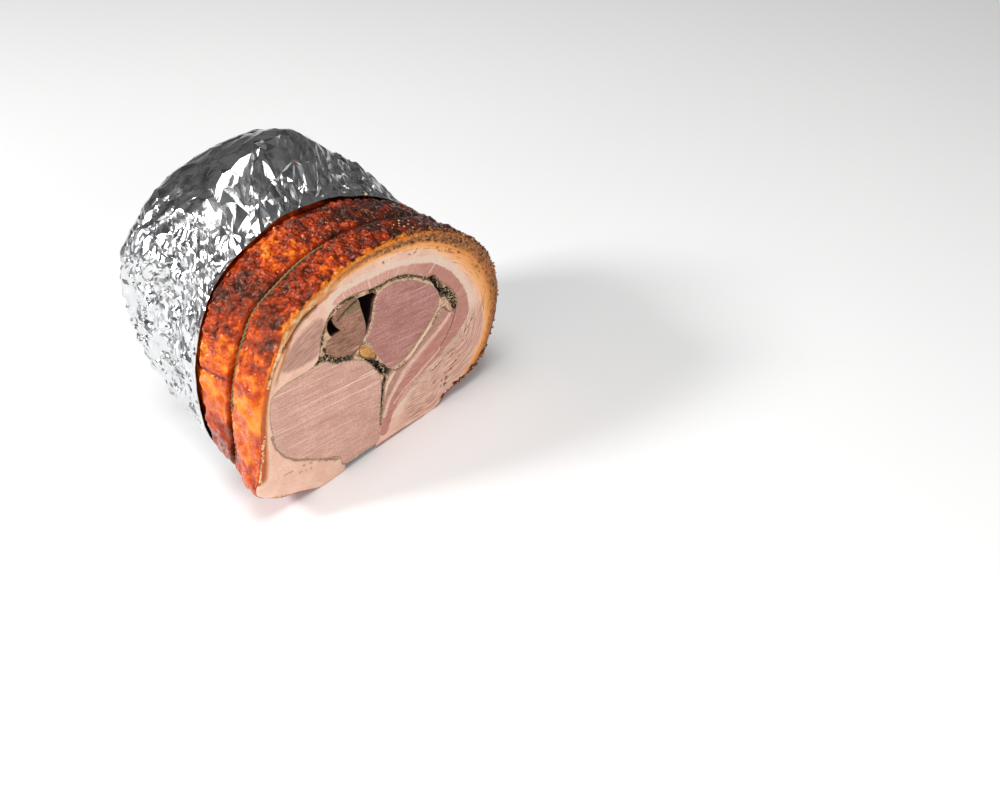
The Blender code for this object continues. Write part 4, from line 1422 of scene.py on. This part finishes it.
def split_triangles(points, faces):
    """Each triangle into four.

    Returns the points, the faces, the first new point and each new point's two parents.
    """
    pairs, number = np.unique(np.sort(edges_of(faces), axis=1), axis=0, return_inverse=True)
    first = len(points)
    ab, bc, ca = first + number.reshape(3, -1)
    a, b, c = faces.T
    result = np.vstack([np.stack(t, axis=1) for t in ((a, ab, ca), (ab, b, bc), (ca, bc, c), (ab, bc, ca))])
    return np.vstack([points, points[pairs].mean(axis=1)]), result, first, pairs


def face_crosses(points, faces):
    a, b, c = (points[faces[:, k]] for k in range(3))
    return np.cross(b - a, c - a)


def point_normals(points, faces):
    across = face_crosses(points, faces)
    total = np.zeros_like(points)
    for k in range(3):
        np.add.at(total, faces[:, k], across)
    return total / np.maximum(np.linalg.norm(total, axis=1), 1e-12)[:, None]


LEFT_OUT = 0.45         # the share of the grid's points that are left out, so that facets vary
POINT_SWAY = 0.4        # how far points stray, in spacings
LONG_FOLD_DEPTH = 1.3
MOUTH_CRUMPLE = 0.3     # how much of the crumpling the foil's mouth has
FOIL_LIFT = 0.02        # keeps the foil's foot just over the floor
FOIL_SHARP_DEGREES = 5
LINING = 1.0            # how far the coarse inner side lies behind the creased outer one


def foil_grid(draw):
    """Scattered points of the smooth foil, its triangles, and how many points are on the mouth.

    The triangles are found on a flat map of the cup, its end in the middle.
    """
    s_values, run, girth = foil_rows()
    mean_girth = 0.5 * (girth[1:] + girth[:-1]) + 1e-6
    shrink = np.concatenate([[0], np.cumsum(np.diff(run) * math.tau / mean_girth)])
    rows = round(run[-1] / (FOIL_SPACING * ROW_RATIO))
    flat = []
    points = []
    for row in range(rows):
        at = run[-1] * row / rows
        around = max(5, round(np.interp(at, run, girth) / FOIL_SPACING))
        if row == 0:
            mouth = around
        for k in range(around):
            if row and draw.random() < LEFT_OUT:
                continue
            sway = draw.uniform(-POINT_SWAY, POINT_SWAY) if row else 0.0
            turn = (k + 0.5 * (row % 2) + sway) * math.tau / around
            here = at + (draw.uniform(-POINT_SWAY, POINT_SWAY) * FOIL_SPACING if row else 0.0)
            radius = math.exp(-np.interp(here, run, shrink))
            flat.append((radius * math.cos(turn), radius * math.sin(turn)))
            points.append(foil_point(turn, float(np.interp(here, run, s_values))))
    flat.append((0.0, 0.0))
    points.append(foil_point(0.0, 2.0))
    _, faces, origins = triangulate(flat, [(k, (k + 1) % mouth) for k in range(mouth)])
    faces = np.array([o[0] for o in origins])[faces]
    points = np.array(points)
    away = points[faces].mean(axis=1) - points.mean(axis=0)
    if np.sum(face_crosses(points, faces) * away) < 0:
        faces = faces[:, [0, 2, 1]]
    return points, faces, mouth


def build_foil():
    """A thin sheet, crumpled in flat facets of three sizes with sharp creases between."""
    draw = np.random.default_rng(31)
    points, faces, mouth = foil_grid(draw)
    coarse_faces = faces
    coarse_count = len(points)
    is_mouth = np.zeros(len(points), bool)
    is_mouth[:mouth] = True
    first = 0
    parents = {}
    for level, height in enumerate(FACET_HEIGHTS):
        if level:
            points, faces, first, pairs = split_triangles(points, faces)
            is_mouth = np.concatenate([is_mouth, is_mouth[pairs].all(axis=1)])
            parents.update({tuple(pair): first + i for i, pair in enumerate(pairs.tolist())})
        size = height * foil_crumple(points) * mix(0.25, 1, near_rim(points)) * near_floor(points)
        size[is_mouth] *= MOUTH_CRUMPLE
        size[:first] = 0
        shift = draw.uniform(-1, 0.6 if level == 0 else 1, len(points)) * size
        points = points + point_normals(points, faces) * shift[:, None]
    long_fold = np.exp(-(waves(points, (16, 9, 70), 33) / 0.22) ** 2)
    at_left = smooth_step(-points[:, 0], 40, 80) * near_rim(points) * near_floor(points)
    points = points - point_normals(points, faces) * (LONG_FOLD_DEPTH * long_fold * at_left)[:, None]
    points[:, 2] = np.maximum(points[:, 2], FOIL_LIFT)
    behind = np.full((coarse_count, 1), LINING)
    behind[:mouth] = FOIL_SHEET
    inner = points[:coarse_count] - point_normals(points, faces)[:coarse_count] * behind
    inner[:, 2] = np.maximum(inner[:, 2], FOIL_SHEET)
    count = len(points)

    def chain(a, b, level):
        """The fine points of a coarse border edge, from a up to but not including b."""
        if level == 0:
            return [a]
        middle = parents[(min(a, b), max(a, b))]
        return chain(a, middle, level - 1) + chain(middle, b, level - 1)

    lip = []
    for a, b in border_edges(coarse_faces):
        fine_edge = chain(a, b, len(FACET_HEIGHTS) - 1) + [b]
        lip.append(tuple(fine_edge[::-1]) + (count + a, count + b))
    all_faces = faces.tolist() + (coarse_faces[:, [0, 2, 1]] + count).tolist() + lip
    add_piece("crumpled_foil", "foil_wrap", np.vstack([points, inner]), all_faces, [foil_look()],
              sharp_degrees=FOIL_SHARP_DEGREES)


# ---------------------------------------------------------------- crumbs and flakes

GOLDEN_RATIO = (1 + math.sqrt(5)) / 2
LUMP_CORNERS = 12
LUMP_UNEVEN = (0.65, 1.25)      # how far a lump's corners are drawn in or out
LUMP_SHARP_DEGREES = 40
LUMP_POINTS = np.array([
    np.roll((s, t * GOLDEN_RATIO, 0), k) for k in (0, 1, 2) for s in (-1, 1) for t in (-1, 1)
]) / math.sqrt(1 + GOLDEN_RATIO**2)
PALE_FLAKES = [(64, 18, 3.0), (66, 10, 2.4), (65, 4, 2.6)]
FRINGES = [
    [(-107.8, 69), (-112.2, 61.8), (-111.8, 51.7), (-116.3, 43.6), (-116, 32.5)],
    [(-85, 129), (-92, 124.5), (-98, 119), (-103.5, 114), (-105.8, 110.7), (-103, 106), (-101.7, 103.7)],
    [(-108, 24), (-104, 14), (-98, 8)],
]
TOP_CRUMBS = [
    (70, 14, 1.8), (68, 12, 1.3), (66, 15, 1.5), (73, 11, 1.2), (64, 10, 1.4), (62, 13, 1.1), (58, 8, 1.6),
]
FOIL_CRUMBS = [(108, 1.5, 2.6), (52, 1.0, 3.0)]
TO_FRONT = np.array([0.0, -1.0, 0.0])


def lump_faces():
    """The triangles of the twelve-cornered lump, facing out."""
    reach = 2.05 / math.sqrt(1 + GOLDEN_RATIO**2)
    near = np.linalg.norm(LUMP_POINTS[:, None] - LUMP_POINTS[None], axis=2) < reach
    found = []
    for a, b, c in itertools.combinations(range(LUMP_CORNERS), 3):
        if near[a, b] and near[b, c] and near[a, c]:
            corners = LUMP_POINTS[[a, b, c]]
            out = np.dot(np.cross(corners[1] - corners[0], corners[2] - corners[0]), corners.sum(axis=0))
            found.append((a, b, c) if out > 0 else (a, c, b))
    return np.array(found)


def scatter_lumps(name, look, bits, seed):
    """Uneven lumps, each with its place, its way out, and its half length, width and height."""
    draw = np.random.default_rng(seed)
    triangles = lump_faces()
    points = []
    faces = []
    for place, out, size in bits:
        side = np.cross(out, draw.normal(size=3))
        side /= np.linalg.norm(side)
        axes = np.array([side, np.cross(out, side), out])
        points.append(place + LUMP_POINTS * draw.uniform(*LUMP_UNEVEN, (LUMP_CORNERS, 1)) * size @ axes)
        faces.append(triangles + LUMP_CORNERS * len(faces))
    add_piece(name, None, np.vstack(points), np.vstack(faces).tolist(), [look],
              sharp_degrees=LUMP_SHARP_DEGREES)


def way_out(angle):
    return np.array([math.cos(angle), 0.0, math.sin(angle)])


def rind_spot(degrees, y):
    """A place on the rind, and the way out of it."""
    angle = math.radians(degrees)
    way = way_out(angle)
    flat = np.array([FACE_CENTRE]) + float(FACE_RADIUS(angle)) * way[[0, 2]]
    return rind_points(flat, y)[0], way


def crumb_look(name, pitch, *stops):
    """Crumbs of several tones, each crumb nearly one tone."""
    look = Look(name)
    tone = look.ramp(look.grain(pitch, 1.0, 0.5), *stops)
    look.bump(look.grain(0.6, 2.0, 0.6), 0.2, 0.8)
    return look.set(Base_Color=tone, Roughness=0.45)


CRUST_BITS = 320


def build_crust_bits():
    """Broken crust along the rind's right edge and at its foot."""
    draw = np.random.default_rng(91)
    bits = []
    for number in range(CRUST_BITS):
        along_foot = number % 4 == 0
        degrees = draw.uniform(-46, -14) if along_foot else draw.triangular(-14, 32, 82)
        place, way = rind_spot(degrees % 360, draw.uniform(0.4, 4.0))
        size = draw.uniform(0.4, 1.3) * (1.3 if along_foot else 1.0)
        place = place + way * draw.uniform(-0.3, 0.5)
        out = way + draw.normal(scale=0.3, size=3)
        shape = (size * draw.uniform(0.6, 1.2), size * 0.6, size * draw.uniform(0.7, 1.7))
        bits.append((place, out / np.linalg.norm(out), shape))
    look = crumb_look("broken_crust", 2.2, (0.3, 34, 20, 12), (0.46, 82, 46, 22), (0.58, 150, 88, 40),
                      (0.7, 206, 146, 92))
    scatter_lumps("crust_bits", look, bits, 92)


FRINGE_STEP = 1.3
FRINGE_INSET = 0.9     # how far inside the face's outline the flakes of a fringe stay


def build_pale_flakes():
    """Loose flakes of skin and fat: on the rind, on the foil's mouth and along the cut's left edge."""
    draw = np.random.default_rng(96)
    bits = []
    for degrees, y, length in PALE_FLAKES + TOP_CRUMBS:
        place, way = rind_spot(degrees, y)
        bits.append((place + way * 1.2, way, (length * 0.5, length * 0.3, 0.45)))
    for degrees, behind, length in FOIL_CRUMBS:
        angle = math.radians(degrees)
        way = way_out(angle)
        place = np.array(foil_point(angle, 0.02 * behind)) + way * 0.6
        bits.append((place, way, (length * 0.5, length * 0.25, length * 0.3)))
    for spot in np.vstack([even_line(fringe, FRINGE_STEP) for fringe in FRINGES]):
        off = spot + draw.normal(scale=0.5, size=2) - np.array(FACE_CENTRE)
        angle = math.atan2(off[1], off[0])
        reach = min(math.hypot(*off), float(FACE_RADIUS(angle % math.tau)) - FRINGE_INSET)
        place = reach * way_out(angle) + (0, draw.uniform(0.5, 1.2), FACE_CENTRE[1])
        bits.append((place, TO_FRONT, (draw.uniform(0.9, 2.0), draw.uniform(0.5, 1.0), 0.6)))
    look = crumb_look("pale_flakes", 2.5, (0.3, 206, 128, 60), (0.45, 232, 178, 120), (0.6, 244, 218, 188))
    scatter_lumps("pale_flakes", look, bits, 93)


def build_seam_crumbs():
    """Herb and meat crumbs in and beside the seams of the cut face."""
    draw = np.random.default_rng(94)
    bits = []
    for line, width in CRACKS + PASTE:
        line = np.array(line, float)
        run = run_of(line)
        for _ in range(round(run[-1] * (0.5 + 0.25 * width))):
            spot = at_run(line, run, draw.uniform(0, run[-1]))
            spot = spot + draw.normal(scale=0.5 + 0.45 * width, size=2)
            if inside(spot[None], TALL_LOOP)[0] or inside(spot[None], SMALL_LOOP)[0]:
                continue
            size = draw.uniform(0.25, 0.75)
            place = np.array((spot[0], 0.75, spot[1]))
            bits.append((place, TO_FRONT, (size * draw.uniform(0.9, 2.0), size, 0.5)))
    look = crumb_look("seam_crumbs", 1.6, (0.34, 20, 16, 10), (0.46, 58, 48, 28), (0.56, 128, 104, 70),
                      (0.66, 214, 184, 150))
    scatter_lumps("seam_crumbs", look, bits, 95)


# ---------------------------------------------------------------- floor, light and camera

CAMERA_PLACE = (-579.0, -595.0, 666.7)
CAMERA_DIRECTION = (0.6064, 0.5146, -0.6062)
LENS_MM = 54.0
SENSOR_MM = 36.0
FLOOR_REACH_M = 40.0


def build_floor():
    mesh = bpy.data.meshes.new("floor")
    corners = [(x * FLOOR_REACH_M, y * FLOOR_REACH_M, 0) for x, y in ((-1, -1), (1, -1), (1, 1), (-1, 1))]
    mesh.from_pydata(corners, [], [(0, 1, 2, 3)])
    look = Look("pale_floor")
    tone = look.blend(look.grain(300.0), (247, 247, 246), (243, 243, 243))
    mesh.materials.append(look.set(Base_Color=tone, Roughness=0.75))
    placed("floor", mesh)


def area_light(name, place, target, width, height, power):
    data = bpy.data.lights.new(name, "AREA")
    data.shape = "RECTANGLE"
    data.size = width
    data.size_y = height
    data.energy = power
    light = placed(name, data)
    light.location = place
    light.rotation_euler = (Vector(target) - Vector(place)).to_track_quat("-Z", "Y").to_euler()


DARK_SIDE = (0.61, 0.51, 0.61)
SURROUND_STRENGTH = 0.32


# Name, place and target's height in metres, width, height and power in watts.
SOFTBOXES = [
    ("back_left_softbox", (-1.3, 0.8, 1.1), 0.08, 0.4, 0.36, 27),
    ("overhead_softbox", (-0.2, -0.2, 1.7), 0.05, 1.0, 1.0, 16.5),
    ("front_softbox", (-0.5, -1.9, 0.9), 0.08, 1.1, 0.8, 14.5),
    ("left_softbox", (-1.8, -0.4, 0.7), 0.08, 0.9, 0.8, 3.6),
]


def build_lights():
    """Four softboxes, and a dim surround that is brighter at the left and has dark patches."""
    world = bpy.data.worlds.new("studio")
    world.use_nodes = True
    sky = Nodes(world.node_tree)
    way = sky.node("TexCoord", {}).outputs["Generated"]
    toward = sky.node("VectorMath", {0: way, 1: DARK_SIDE}, operation="DOT_PRODUCT").outputs["Value"]
    cloud = sky.node("TexNoise", {"Vector": way, "Scale": 3.2, "Detail": 1.0}).outputs["Fac"]
    patches = sky.node("TexNoise", {"Vector": way, "Scale": 5.0, "Detail": 2.0}).outputs["Fac"]
    levels = sky.ramp(sky.add(toward, cloud), (0.25, 1), (1.0, 0.42))
    contrast = sky.ramp(patches, (0.4, 0.26), (0.55, 1.25))
    both = sky.node("VectorMath", {0: levels, 1: contrast}, operation="MULTIPLY").outputs["Vector"]
    background = sky.tree.nodes["Background"]
    sky.feed(background.inputs["Color"], both)
    sky.feed(background.inputs["Strength"], SURROUND_STRENGTH)
    bpy.context.scene.world = world
    bpy.context.scene.view_settings.view_transform = "Standard"
    for name, place, target_height, width, height, power in SOFTBOXES:
        area_light(name, place, (0, 0, target_height), width, height, power)


def build_camera():
    data = bpy.data.cameras.new("camera")
    data.lens = LENS_MM
    data.sensor_width = SENSOR_MM
    data.clip_start = 0.01
    camera = placed("camera", data)
    camera.location = in_metres([CAMERA_PLACE])[0]
    camera.rotation_euler = Vector(CAMERA_DIRECTION).to_track_quat("-Z", "Y").to_euler()
    bpy.context.scene.camera = camera


build_camera()
build_floor()
build_lights()
build_belly()
build_meat("loin_cut", "loin", LOIN_LOOP, LARGE_GROWTH, 1.0, 51,
           cut_meat_look("cut_loin", (221, 174, 156), (190, 140, 122), (240, 210, 194), (24.0, 1.6),
                         (216, 182, 154)), 0.1, plain_rim(1.0))
build_meat("collar_cut", "collar_muscle", COLLAR_LOOP, LARGE_GROWTH, 0.9, 61,
           cut_meat_look("cut_collar", (194, 138, 126), (158, 100, 92), (218, 172, 158), (20.0, 1.2),
                         (220, 190, 160)), 0.2, collar_rim)
build_meat("core_cut", "core_piece", CORE_LOOP, SMALL_GROWTH, 0.7, 71,
           cut_meat_look("cut_core", (172, 122, 98), (118, 76, 56), (198, 152, 128), (8.0, 1.6),
                         (150, 120, 88)), 0.5, plain_rim(0.8),
           [("crease", CORE_CREASE, 0.8), ("skin", CORE_SKIN, 3.0)])
build_meat("nugget_cut", "fat_nugget", NUGGET_LOOP, SMALL_GROWTH, 0.6, 81,
           cut_meat_look("cut_nugget", (222, 160, 84), (158, 102, 46), (238, 196, 124), (4.0, 2.0),
                         (110, 76, 40)), 0.6, plain_rim(1.2))
build_herbs()
build_twine()
build_foil()
build_crust_bits()
build_pale_flakes()
build_seam_crumbs()
